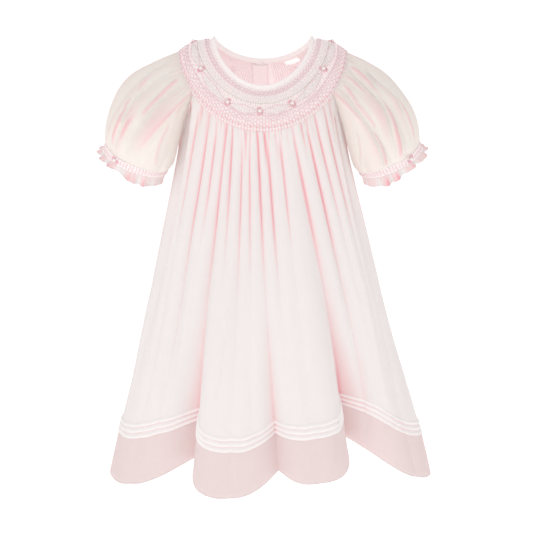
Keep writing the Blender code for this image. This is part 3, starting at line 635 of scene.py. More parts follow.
# %% Colour by the fold number
def fold_colour_group():
    """Colour by the fold number, in three steps of painted shade from ridge to deepest valley, with
    the second layer of the hem, a painted highlight on the tucks' edges and a slow unevenness of the
    dye."""
    group, ends, out = new_group(
        "fold_painted_shade",
        [
            ("Ridge", "NodeSocketColor", CREAM),
            ("Valley", "NodeSocketColor", SHADE_PINK),
            ("Deep", "NodeSocketColor", DEEP_SHADE_PINK),
            ("Highlight", "NodeSocketColor", HIGHLIGHT_WHITE),
            ("Lined", "NodeSocketColor", HEM_PINK),
            ("Doubled", "NodeSocketFloat", 0.85),
        ],
        [("Color", "NodeSocketColor")],
    )
    nodes, links = group.nodes, group.links

    def attribute(name):
        node = nodes.new("ShaderNodeAttribute")
        node.attribute_name = name
        return node.outputs["Fac"]

    def ranged(source, low, high):
        node = nodes.new("ShaderNodeMapRange")
        node.interpolation_type = "SMOOTHSTEP"
        node.inputs["From Min"].default_value = low
        node.inputs["From Max"].default_value = high
        links.new(source, node.inputs["Value"])
        return node.outputs["Result"]

    def blend(share, first, second):
        node = nodes.new("ShaderNodeMix")
        node.data_type = "RGBA"
        links.new(share, node.inputs["Factor"])
        links.new(first, node.inputs["A"])
        links.new(second, node.inputs["B"])
        return node.outputs["Result"]

    place = nodes.new("ShaderNodeTexCoord")
    dye = nodes.new("ShaderNodeTexNoise")
    dye.inputs["Scale"].default_value = 14.0
    dye.inputs["Detail"].default_value = 2.0
    links.new(place.outputs["Object"], dye.inputs["Vector"])
    uneven = math_node(group, "MULTIPLY_ADD", dye.outputs["Fac"], 0.24, -0.13)
    fold = math_node(group, "ADD", attribute("fold"), uneven)
    # painted shade: the fold number blends the ridge colour into pink, then into deep pink
    soft = blend(ranged(fold, 0.12, 0.62), ends.outputs["Ridge"], ends.outputs["Valley"])
    deep = blend(ranged(fold, 0.55, 1.0), soft, ends.outputs["Deep"])
    doubled = math_node(group, "MULTIPLY", attribute("doubled"), ends.outputs["Doubled"])
    lined = blend(doubled, deep, ends.outputs["Lined"])
    # painted highlight: the tucks' crests are blended towards white
    links.new(blend(attribute("tuck_highlight"), lined, ends.outputs["Highlight"]), out.inputs["Color"])
    return group


WEAVE, CRUMPLE, FOLD_PAINTED_SHADE = weave_group(), crumple_group(), fold_colour_group()
print("node groups:", WEAVE.name, CRUMPLE.name, FOLD_PAINTED_SHADE.name)


# %% [markdown]
# A finish for cloth takes its colour from the fold number, its bump from the weave and the
# crumple, and a soft sheen from the loose fibres. Floss is a little silkier, pearl has a clear
# coat over a pale body, and the buttons are pearly plastic.

# %% The finishes
SHEERNESS = 0.35  # the share of light that passes through a layer of batiste


def new_material(name, **sockets):
    """A Principled material whose constant values are set on the shader's own sockets."""
    made = bpy.data.materials.new(name)
    made.use_nodes = True
    shader = made.node_tree.nodes["Principled BSDF"]
    for label, value in sockets.items():
        shader.inputs[label.replace("_", " ")].default_value = value
    return made, made.node_tree.nodes, made.node_tree.links, shader


def group_node(nodes, group, **values):
    node = nodes.new("ShaderNodeGroup")
    node.node_tree = group
    for label, value in values.items():
        node.inputs[label].default_value = value
    return node


def add_bump(nodes, links, shader, height, strength, distance):
    """One more bump layer on the shader's normal."""
    bump = nodes.new("ShaderNodeBump")
    bump.inputs["Strength"].default_value = strength
    bump.inputs["Distance"].default_value = distance
    links.new(height, bump.inputs["Height"])
    if shader.inputs["Normal"].is_linked:
        links.new(shader.inputs["Normal"].links[0].from_socket, bump.inputs["Normal"])
    links.new(bump.outputs["Normal"], shader.inputs["Normal"])


def mottle(nodes, links, shader, scale, first, second):
    """Two colours mixed by a fine noise, as the base colour. Returns the noise's socket."""
    place = nodes.new("ShaderNodeTexCoord")
    noise = nodes.new("ShaderNodeTexNoise")
    noise.inputs["Scale"].default_value = scale
    links.new(place.outputs["Object"], noise.inputs["Vector"])
    shade = nodes.new("ShaderNodeMix")
    shade.data_type = "RGBA"
    shade.inputs["A"].default_value = (*first, 1.0)
    shade.inputs["B"].default_value = (*second, 1.0)
    links.new(noise.outputs["Fac"], shade.inputs["Factor"])
    links.new(shade.outputs["Result"], shader.inputs["Base Color"])
    return noise.outputs["Fac"]


# %% [markdown]
# Batiste lets some light through. A Translucent shader mixed with the Principled one gives that,
# where the transmission of glass would be too clear and much slower.

# %% Batiste
def cloth_finish(name, ridge=CREAM, valley=SHADE_PINK, deep=DEEP_SHADE_PINK, crumple=0.25, painted_glow=0.0):
    """Batiste in three colours: the cloth's cream on the ridges and painted shade in the valleys. The
    glow is painted light, an emission in the cloth's colour for the light that the folds throw on
    each other, more than the samples of a short render find."""
    made, nodes, links, shader = new_material(
        name, Roughness=0.85, Sheen_Weight=0.10, Sheen_Roughness=0.5, Specular_IOR_Level=0.15
    )
    colour = group_node(nodes, FOLD_PAINTED_SHADE, Ridge=ridge, Valley=valley, Deep=deep)
    links.new(colour.outputs["Color"], shader.inputs["Base Color"])
    if painted_glow:
        links.new(colour.outputs["Color"], shader.inputs["Emission Color"])
        shader.inputs["Emission Strength"].default_value = painted_glow
    through = nodes.new("ShaderNodeBsdfTranslucent")
    links.new(colour.outputs["Color"], through.inputs["Color"])
    sheer = nodes.new("ShaderNodeMixShader")
    sheer.inputs["Fac"].default_value = SHEERNESS
    links.new(shader.outputs["BSDF"], sheer.inputs[1])
    links.new(through.outputs["BSDF"], sheer.inputs[2])
    links.new(sheer.outputs["Shader"], nodes["Material Output"].inputs["Surface"])
    crumpled = group_node(nodes, CRUMPLE)
    add_bump(nodes, links, shader, crumpled.outputs["Height"], crumple, 0.004)
    woven = group_node(nodes, WEAVE)
    add_bump(nodes, links, shader, woven.outputs["Height"], 0.10, 0.0002)
    return made


# %% [markdown]
# Floss and pearl have one colour each, with a fine noise in it: twist lines for the thread, and a
# faint cloud for the pearl, which also has a clear coat.

# %% Floss and pearl
def floss_finish(name, colour):
    """Stranded cotton: a silky thread with fine twist lines."""
    made, nodes, links, shader = new_material(
        name, Roughness=0.6, Sheen_Weight=0.15, Sheen_Roughness=0.4, Specular_IOR_Level=0.25
    )
    dark, light = [x * 0.86 for x in colour], [min(1.0, x * 1.05) for x in colour]
    twist = mottle(nodes, links, shader, 900.0, dark, light)
    add_bump(nodes, links, shader, twist, 0.3, 0.0003)
    return made


def pearl_finish(name, colour, roughness=0.22):
    """A pearly body under a clear coat, with a faint cloud in it."""
    made, nodes, links, shader = new_material(
        name, Roughness=roughness, Coat_Weight=0.6, Coat_Roughness=0.08, Specular_IOR_Level=0.6
    )
    mottle(nodes, links, shader, 260.0, colour, (0.95, 0.90, 0.88))
    return made


# %% [markdown]
# Thirteen finishes serve all the pieces. The sleeves are a little warmer in the photo than the
# skirt. The inside of the neck is lit by all the cloth round it, and that light is painted in as a
# glow; the label glows as much, the smocking and the binding less, and the rest of the cloth a
# little.

# %% The dress's own finishes
# painted light: each cloth finish glows in its own colour, for light bounced between the folds
BATISTE = cloth_finish("batiste", painted_glow=0.02)
SLEEVE_BATISTE = cloth_finish("sleeve_batiste", ridge=WARM_CREAM, deep=(0.91, 0.69, 0.69, 1.0), painted_glow=0.03)
INSIDE = cloth_finish("batiste_inside", ridge=(0.88, 0.84, 0.845, 1.0), painted_glow=0.35)
# smocked cloth: its valley colour is painted shade between the pleats, and its glow painted light
SMOCKED = cloth_finish(
    "smocked_batiste",
    ridge=(0.97, 0.94, 0.935, 1.0),
    valley=(0.96, 0.835, 0.85, 1.0),
    crumple=0.1,
    painted_glow=0.12,
)
BINDING = cloth_finish("bias_binding", ridge=(0.95, 0.925, 0.915, 1.0), crumple=0.15, painted_glow=0.12)
RIBBON = cloth_finish(
    "label_ribbon", ridge=(0.95, 0.94, 0.93, 1.0), valley=(0.9, 0.88, 0.87, 1.0), painted_glow=0.35
)
PINK_FLOSS = floss_finish("pink_floss", (0.98, 0.77, 0.80))
ROSE_FLOSS = floss_finish("rose_floss", (0.93, 0.55, 0.61))
CREAM_FLOSS = floss_finish("cream_floss", (0.98, 0.95, 0.93))
GREEN_FLOSS = floss_finish("green_floss", (0.74, 0.76, 0.67))
SEWING = floss_finish("sewing_thread", (0.93, 0.88, 0.86))
PEARL = pearl_finish("pearl", (0.90, 0.80, 0.78))
BUTTON = pearl_finish("button_pearl", (0.90, 0.78, 0.78), roughness=0.3)
print("finishes:", len([m for m in bpy.data.materials if m.use_nodes]))


def finish_piece(piece, made, slot, *nodes):
    """Gives a piece its finish and its place on the body, and hides the solids that it stands for.
    A cloth shell has a second finish on its inner wall."""
    if len(piece.data.materials) == 2:
        piece.data.materials[0] = made
        piece.data.materials[1] = INSIDE
    else:
        piece.data.materials.clear()
        piece.data.materials.append(made)
    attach(piece, "root")
    if nodes:
        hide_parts(*nodes)
    return piece


# %% [markdown]
# Now the skirt itself. The rows are close together at the top, where the gathers are, and at the
# three pintucks, where each tuck needs a crisp lower edge. A pintuck is a fold of cloth 3 mm deep,
# stitched and pressed down, so its section is a slope that ends in a small step. The columns
# follow the valleys, so that each crease runs along a line of points.

# %% Rows and columns of the body panels
FRONT_COLUMNS = 14  # columns of points between two valleys
BACK_COLUMNS = 24
TUCK_STAND = 1.7
TUCK_SLOPE = 3.6
# The tucks' crests carry a painted highlight, and the cloth just below each step a painted shadow.
TUCK_SECTION = [
    # millimetres above the tuck's edge, the share it is raised, how much painted highlight, how much
    # painted shade
    (TUCK_SLOPE, 0.0, 0.0, 0.10),
    (2.6, 0.20, 0.2, 0.0),
    (1.5, 0.55, 0.7, 0.0),
    (0.7, 0.95, 1.0, 0.0),
    (0.15, 1.0, 1.0, 0.0),
    (-0.15, 0.80, 0.7, 0.1),
    (-0.35, 0.10, 0.0, 0.50),
    (-1.1, 0.0, 0.0, 0.45),
    (-1.7, 0.0, 0.0, 0.10),
]
HEM_DOUBLE = 0.5  # how much the doubled hem stands out
# Painted shade: the cloth is painted pinker where the gathers crowd together, and in the sleeve's shade
# beside the underarm.
CROWDED_SHADE = 0.16  # how much pinker the cloth looks where the gathers crowd together
UNDER_ARM_SHADE = 0.42  # the same in the sleeve's shade


def body_rows():
    """Levels of the rows, and at each the height raised, its painted highlight and painted shade,
    and whether its cloth is doubled."""
    plain = (0.0, 0.0, 0.0)
    rows = [(level, *plain) for level in np.linspace(0.0, 0.13, 24)[:-1]]
    last_plain = 1.0 - (TUCK_HEIGHTS[0] + TUCK_SLOPE + 1.5) / PANEL_LENGTH
    rows += [(level, *plain) for level in np.linspace(0.13, last_plain, 74)]
    for height in TUCK_HEIGHTS:
        for above, raised, tuck_highlight, shaded in TUCK_SECTION:
            rows.append((1.0 - (height + above) / PANEL_LENGTH, TUCK_STAND * raised, tuck_highlight, shaded))
    first_hem = 1.0 - (TUCK_HEIGHTS[-1] - 2.2) / PANEL_LENGTH
    rows += [(level, *plain) for level in np.linspace(first_hem, 1.0, 14)]
    levels, raised, tuck_highlight, shaded = np.array(rows).T
    doubled = smooth((levels - first_hem) * PANEL_LENGTH / 2.0 + 1.0)
    return levels, raised + doubled * HEM_DOUBLE, tuck_highlight, shaded, doubled


def body_panel(name, first, last, columns_a_fold):
    """A body panel between two rows of the valley table."""
    levels, raised, tuck_highlight, shaded, doubled = body_rows()
    columns = np.linspace(first, last, (last - first) * columns_a_fold + 1)
    grid = []
    for level in levels:
        station = np.interp(columns, np.arange(len(VALLEYS)), valley_stations(level))
        grid.append(skirt_point(station, level))
    grid = np.array(grid)
    smoothness = columns_a_fold / FRONT_COLUMNS
    crowding = (1.0 - smooth(levels / 0.5))[:, None]
    narrow, broad = mix(0.10, 1.5, crowding), mix(0.026, 0.06, crowding)
    # painted shade where the gathers crowd, with two slow waves round the dress, so that some groups of
    # gathers are pinker than others
    uneven = 1.0 + 0.9 * np.sin(columns * 1.7 + 1.0) * np.sin(columns * 0.61)
    base = 0.12 + CROWDED_SHADE * crowding * uneven
    values = fold_values(grid, False, 2.0 * smoothness, 16.0 * smoothness, narrow, broad, base)
    top_station = np.interp(columns, np.arange(len(VALLEYS)), valley_stations(0.0))
    # painted shade on the body beside the underarm, where the sleeve shades it
    sleeve_shade = np.exp(-(((np.abs(top_station) - 1.0) / 0.32) ** 2))[None, :]
    sleeve_shade = sleeve_shade * (1.0 - smooth((levels - 0.12) / 0.3))[:, None]
    values = np.clip(values + shaded[:, None] + UNDER_ARM_SHADE * sleeve_shade, 0.0, 1.0)
    grid = grid + normals_of(grid, False) * raised[:, None, None]
    numbers = {"fold": values, "doubled": doubled[:, None], "tuck_highlight": tuck_highlight[:, None]}
    return cloth_piece(name, grid, False, numbers), grid


TABLE_TOPS = [row[0] for row in VALLEYS]
RIGHT_SIDE, LEFT_SIDE = TABLE_TOPS.index(-1.0), TABLE_TOPS.index(1.0)
LAST_VALLEY = len(VALLEYS) - 1
FRONT, FRONT_GRID = body_panel("dress_front", RIGHT_SIDE, LEFT_SIDE, FRONT_COLUMNS)
BACK_RIGHT, BACK_RIGHT_GRID = body_panel("dress_back_right", 0, RIGHT_SIDE, BACK_COLUMNS)
BACK_LEFT, BACK_LEFT_GRID = body_panel("dress_back_left", LEFT_SIDE, LAST_VALLEY, BACK_COLUMNS)
finish_piece(FRONT, BATISTE, "batiste", "front_panel")
finish_piece(BACK_RIGHT, BATISTE, "batiste", "back_right_panel")
finish_piece(BACK_LEFT, BATISTE, "batiste", "back_left_panel")


# %% [markdown]
# A bishop sleeve puffs out from the yoke, turns under and is drawn into a narrow cuff. Its rings
# go from the armhole's outline to the cuff's oval, and swell away from a point inside. The long
# creases again come from a table, in degrees round the sleeve: 0 is the top of the sleeve, 90 its
# front and 180 the underarm.

# %% Sizes of the sleeves, the same as in the solids
CUFF_CENTRE = np.array([127.5, -17.0, -120.0])
CUFF_HALF_WIDTH = 33.0
CUFF_HALF_DEPTH = 28.0
CUFF_OUTWARD_DEG = {"left": 25.0, "right": 22.0}
CUFF_DIP_DEG = 15.0
PUFF_CORE = np.array([96.0, -9.0, -90.0])
PUFF_TOP = {"left": 19.0, "right": 24.0}
PUFF = {"front": 27.0, "underarm": 1.5, "back": 24.0}
BODY_ROOM = 3.2
PUFF_LOWNESS = 1.2
SLEEVE_YOKE_DEG = 82.0
SLEEVE_VALLEY_COLUMNS = ("top", "cuff", "deep_top", "deep_mid", "deep_cuff", "reach")
SLEEVE_VALLEYS = {
    "left": [
        (15.0, 38.0, 3.0, 4.0, 2.0, 9.0),
        (34.0, 60.0, 3.0, 11.0, 6.0, 9.0),
        (66.0, 90.0, 3.0, 9.0, 5.0, 8.0),
        (98.0, 137.0, 0.0, 4.0, 5.0, 9.0),
        (216.0, 226.0, 2.0, 5.0, 3.0, 10.0),
        (262.0, 262.0, 3.0, 8.0, 5.0, 9.0),
        (296.0, 292.0, 3.0, 6.0, 4.0, 9.0),
        (332.0, 326.0, 3.0, 7.0, 4.0, 9.0),
    ],
    "right": [
        (12.0, 26.0, 3.0, 5.0, 3.0, 9.0),
        (34.0, 44.0, 2.0, 5.0, 6.0, 8.0),
        (58.0, 70.0, 3.0, 8.0, 5.0, 8.0),
        (82.0, 98.0, 3.0, 5.0, 3.0, 8.0),
        (104.0, 134.0, 0.0, 4.0, 4.0, 9.0),
        (220.0, 230.0, 2.0, 5.0, 3.0, 10.0),
        (258.0, 262.0, 3.0, 7.0, 5.0, 9.0),
        (298.0, 290.0, 3.0, 8.0, 4.0, 9.0),
        (336.0, 330.0, 3.0, 5.0, 4.0, 9.0),
    ],
}
CUFF_HEIGHT = 5.5
RUFFLE_LENGTH = 5.5
RUFFLE_INNER_LENGTH = 11.5
RUFFLE_FLARE = 4.5
RUFFLE_WAVES = 13
RUFFLE_WAVE = 2.8
CUFF_PINCH = 0.85
SIDE = {"left": 1.0, "right": -1.0}
SMALL_CREASES = 44  # round a sleeve, at its gathered ends


# %% [markdown]
# Small creases crowd together at both ends of a sleeve, where it is gathered. They are drawn by
# chance, with a seed of their own for each sleeve. The sharp creases that the photo shows are
# listed instead, with similar ones on the hidden back of each sleeve.

# %% Creases of the sleeves
FINE_SLEEVE = {
    side: [
        dict(
            turn=360.0 * (i + seeded.uniform(-0.35, 0.35)) / SMALL_CREASES,
            deep=seeded.uniform(0.5, 1.6),
            reach=seeded.uniform(2.0, 4.2),
            upper=seeded.choice((0.12, 0.2, 0.34)),
            lower=seeded.choice((0.10, 0.16, 0.3)),
            lean=seeded.uniform(-7.0, 7.0),
        )
        for i in range(SMALL_CREASES)
    ]
    for side, seeded in (("left", random.Random(11)), ("right", random.Random(23)))
}


# Sharp creases: levels down the sleeve, the angle at each, depth and reach in millimetres
SLEEVE_CREASES = {
    "right": [
        ((0.04, 0.10, 0.26, 0.40, 0.52), (57.0, 58.0, 62.0, 64.0, 66.0), 2.6, 2.6),
        ((0.03, 0.10, 0.24), (85.0, 92.0, 93.0), 2.2, 2.4),
        ((0.48, 0.56, 0.68, 0.92), (40.0, 43.0, 50.0, 52.0), 3.0, 2.8),
        ((0.56, 0.66, 0.80), (59.0, 60.0, 62.0), 1.8, 2.0),
        ((0.26, 0.36, 0.44), (30.0, 36.0, 44.0), 1.6, 2.2),
        ((0.30, 0.50, 0.74), (96.0, 104.0, 118.0), 1.6, 3.0),
        ((0.05, 0.30, 0.60), (300.0, 296.0, 290.0), 2.4, 2.6),
        ((0.40, 0.66, 0.92), (262.0, 266.0, 270.0), 2.6, 2.8),
        ((0.05, 0.26, 0.46), (330.0, 322.0, 318.0), 1.8, 2.4),
    ],
    "left": [
        ((0.04, 0.24, 0.48, 0.70, 0.94), (68.0, 76.0, 80.0, 90.0, 104.0), 3.2, 2.6),
        ((0.02, 0.26, 0.42, 0.70, 0.96), (32.0, 44.0, 50.0, 68.0, 80.0), 3.6, 3.2),
        ((0.16, 0.24, 0.34), (14.0, 26.0, 40.0), 1.8, 2.0),
        ((0.34, 0.46, 0.64), (102.0, 114.0, 130.0), 2.2, 2.6),
        ((0.50, 0.70, 0.92), (30.0, 40.0, 46.0), 1.8, 2.4),
        ((0.03, 0.12, 0.22), (52.0, 56.0, 60.0), 1.6, 2.0),
        ((0.05, 0.34, 0.66), (296.0, 290.0, 280.0), 2.8, 2.6),
        ((0.36, 0.60, 0.90), (258.0, 262.0, 268.0), 2.4, 2.8),
        ((0.05, 0.24, 0.42), (326.0, 320.0, 312.0), 1.8, 2.4),
    ],
}
MM_A_DEGREE = 0.8  # round a sleeve
SLEEVE_LENGTH = 90.0
SLEEVE_TURNING = 2.0  # the seam allowance that lies behind the body's edge
CREASE_RIDGE = 0.7  # a crease's upper side stands out by this share of its depth
CREASE_STEEP = 0.5  # its upper side falls this share of its reach
CREASE_GENTLE = 1.8  # and its lower side rises over this share of it


# %% [markdown]
# A sharp crease is not a symmetric trough. The cloth above it hangs over a little, so its upper
# side is steep and stands out as a ridge, and its lower side runs out gently.

# %% The form of a sharp crease
def sleeve_creases(side, angle, level):
    """Sharp creases, each a narrow trough with a soft ridge along its upper side."""
    total = np.zeros_like(angle)
    for levels, angles, deep, reach in SLEEVE_CREASES[side]:
        fade = smooth((level - levels[0]) / 0.08 + 0.2) * smooth((levels[-1] - level) / 0.10 + 0.2)
        if fade <= 0.0:
            continue
        centre = np.interp(level, levels, angles)
        away = ((angle - centre + 180.0) % 360.0 - 180.0) * MM_A_DEGREE
        slope = reach * np.where(away < 0.0, CREASE_STEEP, CREASE_GENTLE)
        trough = np.exp(-((np.abs(away) / slope) ** 1.3))
        ridge = np.exp(-(((away + 1.2 * reach) / (0.8 * reach)) ** 2))
        total += deep * fade * (CREASE_RIDGE * ridge - trough)
    return total


# %% [markdown]
# The sleeve's upper edge is the armhole: part of the yoke, then the raglan seams down to the
# underarm. Its lower end is the cuff's oval, tilted out and forwards as an arm would hold it.

# %% The sleeve's two ends
def sleeve_ring(angle):
    """The angle on the yoke where the cloth at an angle round the sleeve is gathered in."""
    turn = (angle + 180.0) % 360.0 - 180.0
    return np.radians(90.0 - np.clip(turn / SLEEVE_YOKE_DEG, -1.0, 1.0) * (90.0 - RAGLAN_DEG))


def armhole(angle):
    """The sleeve's upper edge on the wearer's left, by the angle round the sleeve."""
    turn = (angle + 180.0) % 360.0 - 180.0
    rear, turn = turn < 0, np.abs(turn)
    along_yoke = np.minimum(turn / SLEEVE_YOKE_DEG, 1.0) * (90.0 - RAGLAN_DEG)
    ring_angle = np.radians(np.where(rear, 90.0 + along_yoke, 90.0 - along_yoke))
    down = np.clip((turn - SLEEVE_YOKE_DEG) / (180.0 - SLEEVE_YOKE_DEG), 0.0, 1.0)
    seam = np.where(rear[..., None], raglan(down, True), raglan(down, False))
    return np.where((turn <= SLEEVE_YOKE_DEG)[..., None], oval(YOKE_EDGE, ring_angle), seam)


def cuff_frame(side):
    """The cuff's outward, forward and arm directions, on the wearer's left."""
    lean, dip = math.radians(CUFF_OUTWARD_DEG[side]), math.radians(CUFF_DIP_DEG)
    outward = np.array([math.cos(lean), 0.0, math.sin(lean)])
    forward = np.array([0.0, -math.cos(dip), -math.sin(dip)])
    forward = unit(forward - outward * forward.dot(outward))
    return outward, forward, np.cross(outward, forward)


def cuff_ring(side, angle, along, flare=0.0):
    """Points round the arm, at a distance along it below the sleeve."""
    outward, forward, arm = cuff_frame(side)
    turn = np.radians(angle)
    radial = np.cos(turn)[..., None] * outward + np.sin(turn)[..., None] * forward
    around = np.cos(turn)[..., None] * outward * CUFF_HALF_WIDTH
    around = around + np.sin(turn)[..., None] * forward * CUFF_HALF_DEPTH
    along, flare = np.asarray(along)[..., None], np.asarray(flare)[..., None]
    return CUFF_CENTRE + around + radial * flare + arm * along


# %% [markdown]
# A sleeve hangs close to the body and must not run into it. A collision test could push it out,
# but a table is simpler: for each height and direction it says how far the body reaches, and
# sleeve points that are nearer than that are moved straight out.

# %% Room beside the body
def body_reach_table():
    """How far the body reaches from the middle line, by direction and by height."""
    station = np.linspace(0.3, 1.7, 57)
    rows = np.array([skirt_point(station, level, fine=False) for level in np.linspace(0.0, 0.3, 16)])
    heights = np.linspace(-190.0, -40.0, 76)
    turns = np.linspace(0.3, 2.9, 105)
    reach = np.zeros((len(heights), len(turns)))
    for k, height in enumerate(heights):
        found = []
        for column in np.swapaxes(rows, 0, 1):
            if column[0, 2] >= height:
                x, y = (np.interp(-height, -column[:, 2], column[:, axis]) for axis in (0, 1))
                found.append((math.atan2(x, -y), math.hypot(x, y)))
        if found:
            at, values = np.array(sorted(found)).T
            inside = (turns >= at[0]) & (turns <= at[-1])
            reach[k] = np.where(inside, np.interp(turns, at, values), 0.0)
    return heights, turns, reach


BODY_HEIGHTS, BODY_TURNS, BODY_REACH = body_reach_table()


def clear_of_body(points, room):
    """Sleeve points on the wearer's left, moved out where they come too near the body."""
    reach = np.hypot(points[:, 0], points[:, 1])
    turn = np.arctan2(points[:, 0], -points[:, 1])
    row = np.interp(points[:, 2], BODY_HEIGHTS, np.arange(len(BODY_HEIGHTS)))
    column = np.interp(turn, BODY_TURNS, np.arange(len(BODY_TURNS)))
    i, j = np.floor(row).astype(int), np.floor(column).astype(int)
    i, j = np.minimum(i, len(BODY_HEIGHTS) - 2), np.minimum(j, len(BODY_TURNS) - 2)
    down, along = row - i, column - j
    upper = mix(BODY_REACH[i, j], BODY_REACH[i, j + 1], along)
    lower = mix(BODY_REACH[i + 1, j], BODY_REACH[i + 1, j + 1], along)
    least = mix(upper, lower, down)
    least = np.where(least > 20.0, least + room, 0.0)
    scale = np.where(reach < least, least / np.maximum(reach, 1.0), 1.0)
    moved = points.copy()
    moved[:, :2] *= scale[:, None]
    return moved


# %% [markdown]
# Now the sleeve's own surface: a straight run from armhole to cuff, swollen away from a point
# inside, less the folds, plus the small forms.

# %% The sleeve's surface
def sleeve_folds(side, angle, level):
    """How far the sleeve's creases lie behind its swell."""
    table = {n: np.array(SLEEVE_VALLEYS[side])[:, i] for i, n in enumerate(SLEEVE_VALLEY_COLUMNS)}
    total = np.zeros_like(angle)
    for i in range(len(table["top"])):
        centre = mix(table["top"][i], table["cuff"][i], level)
        depths = [0.0, table["deep_top"][i], table["deep_mid"][i], table["deep_cuff"][i] * 0.35]
        places = np.array([0.0, 0.15, 0.6, 1.0])
        deep = curve_through(np.array(min(level, 0.9999)), places, np.array(depths))
        away = (angle - centre + 180.0) % 360.0 - 180.0
        total += deep * np.exp(-((np.abs(away) / table["reach"][i]) ** VALLEY_SHARPNESS))
    return total


def sleeve_fine(side, angle, level):
    """Small gathers below the yoke and above the cuff, outwards, in millimetres."""
    turn = np.abs((angle + 180.0) % 360.0 - 180.0)
    on_yoke = smooth((SLEEVE_YOKE_DEG - turn) / 6.0)
    height = pleats_below_yoke(sleeve_ring(angle), level * SLEEVE_LENGTH) * on_yoke
    height += sleeve_creases(side, angle, level)
    for crease in FINE_SLEEVE[side]:
        upper = (1.0 - smooth(level / crease["upper"])) * smooth(level / 0.04 + 0.3) * on_yoke
        lower = 1.0 - smooth((1.0 - level) / crease["lower"])
        away = np.abs((angle - crease["turn"] - crease["lean"] * level + 180.0) % 360.0 - 180.0)
        height -= crease["deep"] * (upper + 1.1 * lower) * np.exp(-((away / crease["reach"]) ** 1.5))
    slow = np.radians(angle)
    height += math.sin(math.pi * level) * (
        0.9 * np.sin(5 * slow + 6 * level + SIDE[side]) + 0.6 * np.sin(9 * slow - 9 * level)
    )
    return height


def sleeve_point(side, angle, level):
    """The sleeve's surface on the wearer's left, from the armhole to the cuff."""
    start, end = armhole(angle), cuff_ring(side, angle, np.zeros_like(angle))
    swell = unit(mix(start, end, 0.5) - PUFF_CORE)
    turn = np.radians(angle)
    middle = np.where(np.sin(turn) > 0, PUFF["front"], PUFF["back"])
    ends = np.where(np.cos(turn) > 0, PUFF_TOP[side], PUFF["underarm"])
    size = mix(ends, middle, np.abs(np.sin(turn)) ** 1.2)
    amount = size * math.sin(math.pi * level**PUFF_LOWNESS) ** 0.72 - sleeve_folds(side, angle, level)
    away = unit(mix(yoke_out(sleeve_ring(angle)), swell, smooth(level * SLEEVE_LENGTH / 14.0)))
    points = mix(start, end, level) + swell * amount[..., None]
    points += away * sleeve_fine(side, angle, level)[..., None]
    room = BODY_ROOM * min(level / 0.1, (1.0 - level) / 0.2, 1.0)
    return clear_of_body(points, room) if room > 0.0 else points


# %% [markdown]
# Both sleeves are worked out on the wearer's left, and the right one is then mirrored. The first
# row of points is tucked in behind the body's edge, as the seam allowance is.

# %% Both sleeves
def sleeve_cloth(name, side, grid, values):
    """A tube of cloth on its own side. The columns of the wearer's left sleeve run backwards,
    and those of its mirror image forwards, so that the faces of both point out."""
    grid[..., 0] *= SIDE[side]
    step = 1 if side == "right" else -1
    return cloth_piece(name + side, grid[:, ::step], True, {"fold": values[:, ::step], "doubled": 0.0})


def sleeve(side):
    """One sleeve as a tube of cloth."""
    columns = 340
    angle = np.arange(columns) * 360.0 / columns
    levels = np.concatenate([np.linspace(0.0, 0.14, 12)[:-1], np.linspace(0.14, 0.86, 44)[:-1],
                             np.linspace(0.86, 1.0, 14)])
    grid = np.array([sleeve_point(side, angle, level) for level in levels])
    tucked_in = grid[0] - unit(grid[1] - grid[0]) * SLEEVE_TURNING
    grid = np.concatenate([tucked_in[None], grid])
    # painted shade in the sleeve's creases
    values = fold_values(grid, True, 1.6, 9.0, 1.0, 0.055, 0.14)
    return sleeve_cloth("sleeve_puff_", side, grid, values)


SLEEVES = {side: finish_piece(sleeve(side), SLEEVE_BATISTE, "batiste", "sleeve_" + side) for side in SIDE}


# %% [markdown]
# Below each puff a narrow band is smocked tight, and the rest of the cloth runs on as a frill with
# a rolled edge. The frill waves round the arm, unevenly, and is pressed in beside the body.

# %% Cuffs and frills
CUFF_PLEATS = 62


def cuff(side):
    """The smocked band, with its fine pleats."""
    columns = CUFF_PLEATS * 4
    angle = np.arange(columns) * 360.0 / columns
    pleat = pleat_profile(np.arange(columns) / 4.0)
    rows = np.linspace(-0.8, CUFF_HEIGHT + 0.8, 9)
    waist = 1.0 - 0.5 * np.cos(np.linspace(-math.pi, math.pi, 9))
    grid = np.array([cuff_ring(side, angle, np.full(columns, along), pleat * full * 0.75 + 0.5)
                     for along, full in zip(rows, waist)])
    # painted shade between the cuff's pleats
    values = np.clip(0.75 - 0.75 * pleat, 0.0, 1.0)[None, :] * np.ones((len(rows), 1))
    return sleeve_cloth("cuff_smocking_", side, grid, values)


def frill(side):
    """The frill below the cuff, with uneven waves, small gathers at its top and a rolled edge."""
    columns = RUFFLE_WAVES * 22
    angle = np.arange(columns) * 360.0 / columns
    turn = np.radians(angle)
    room = 1.0 - CUFF_PINCH * smooth((-np.cos(turn) - 0.2) / 0.6)
    length = mix(RUFFLE_LENGTH, RUFFLE_INNER_LENGTH, smooth(0.5 - np.cos(turn)))
    bend = turn + 0.10 * np.sin(3 * turn + 1.3 * SIDE[side]) + 0.05 * np.sin(7 * turn)
    wave = np.sin(bend * RUFFLE_WAVES) + 0.35 * np.sin(bend * RUFFLE_WAVES * 2 + 1.0)
    gather = np.sin(turn * RUFFLE_WAVES * 4)
    grid = []
    for share in np.linspace(0.0, 1.0, 14):
        flare = share * RUFFLE_FLARE * room + wave * RUFFLE_WAVE * share**0.8 * room * 0.85
        flare = flare + 0.45 * gather * (1.0 - share) ** 2
        rolled = 0.45 if share > 0.97 else 0.0
        grid.append(cuff_ring(side, angle, CUFF_HEIGHT + share * length - 0.4 * rolled, flare + rolled))
    grid = np.array(grid)
    # painted shade in the frill's waves
    values = fold_values(grid, True, 2.0, 8.0, 0.7, 0.3)
    return sleeve_cloth("frill_", side, grid, values)


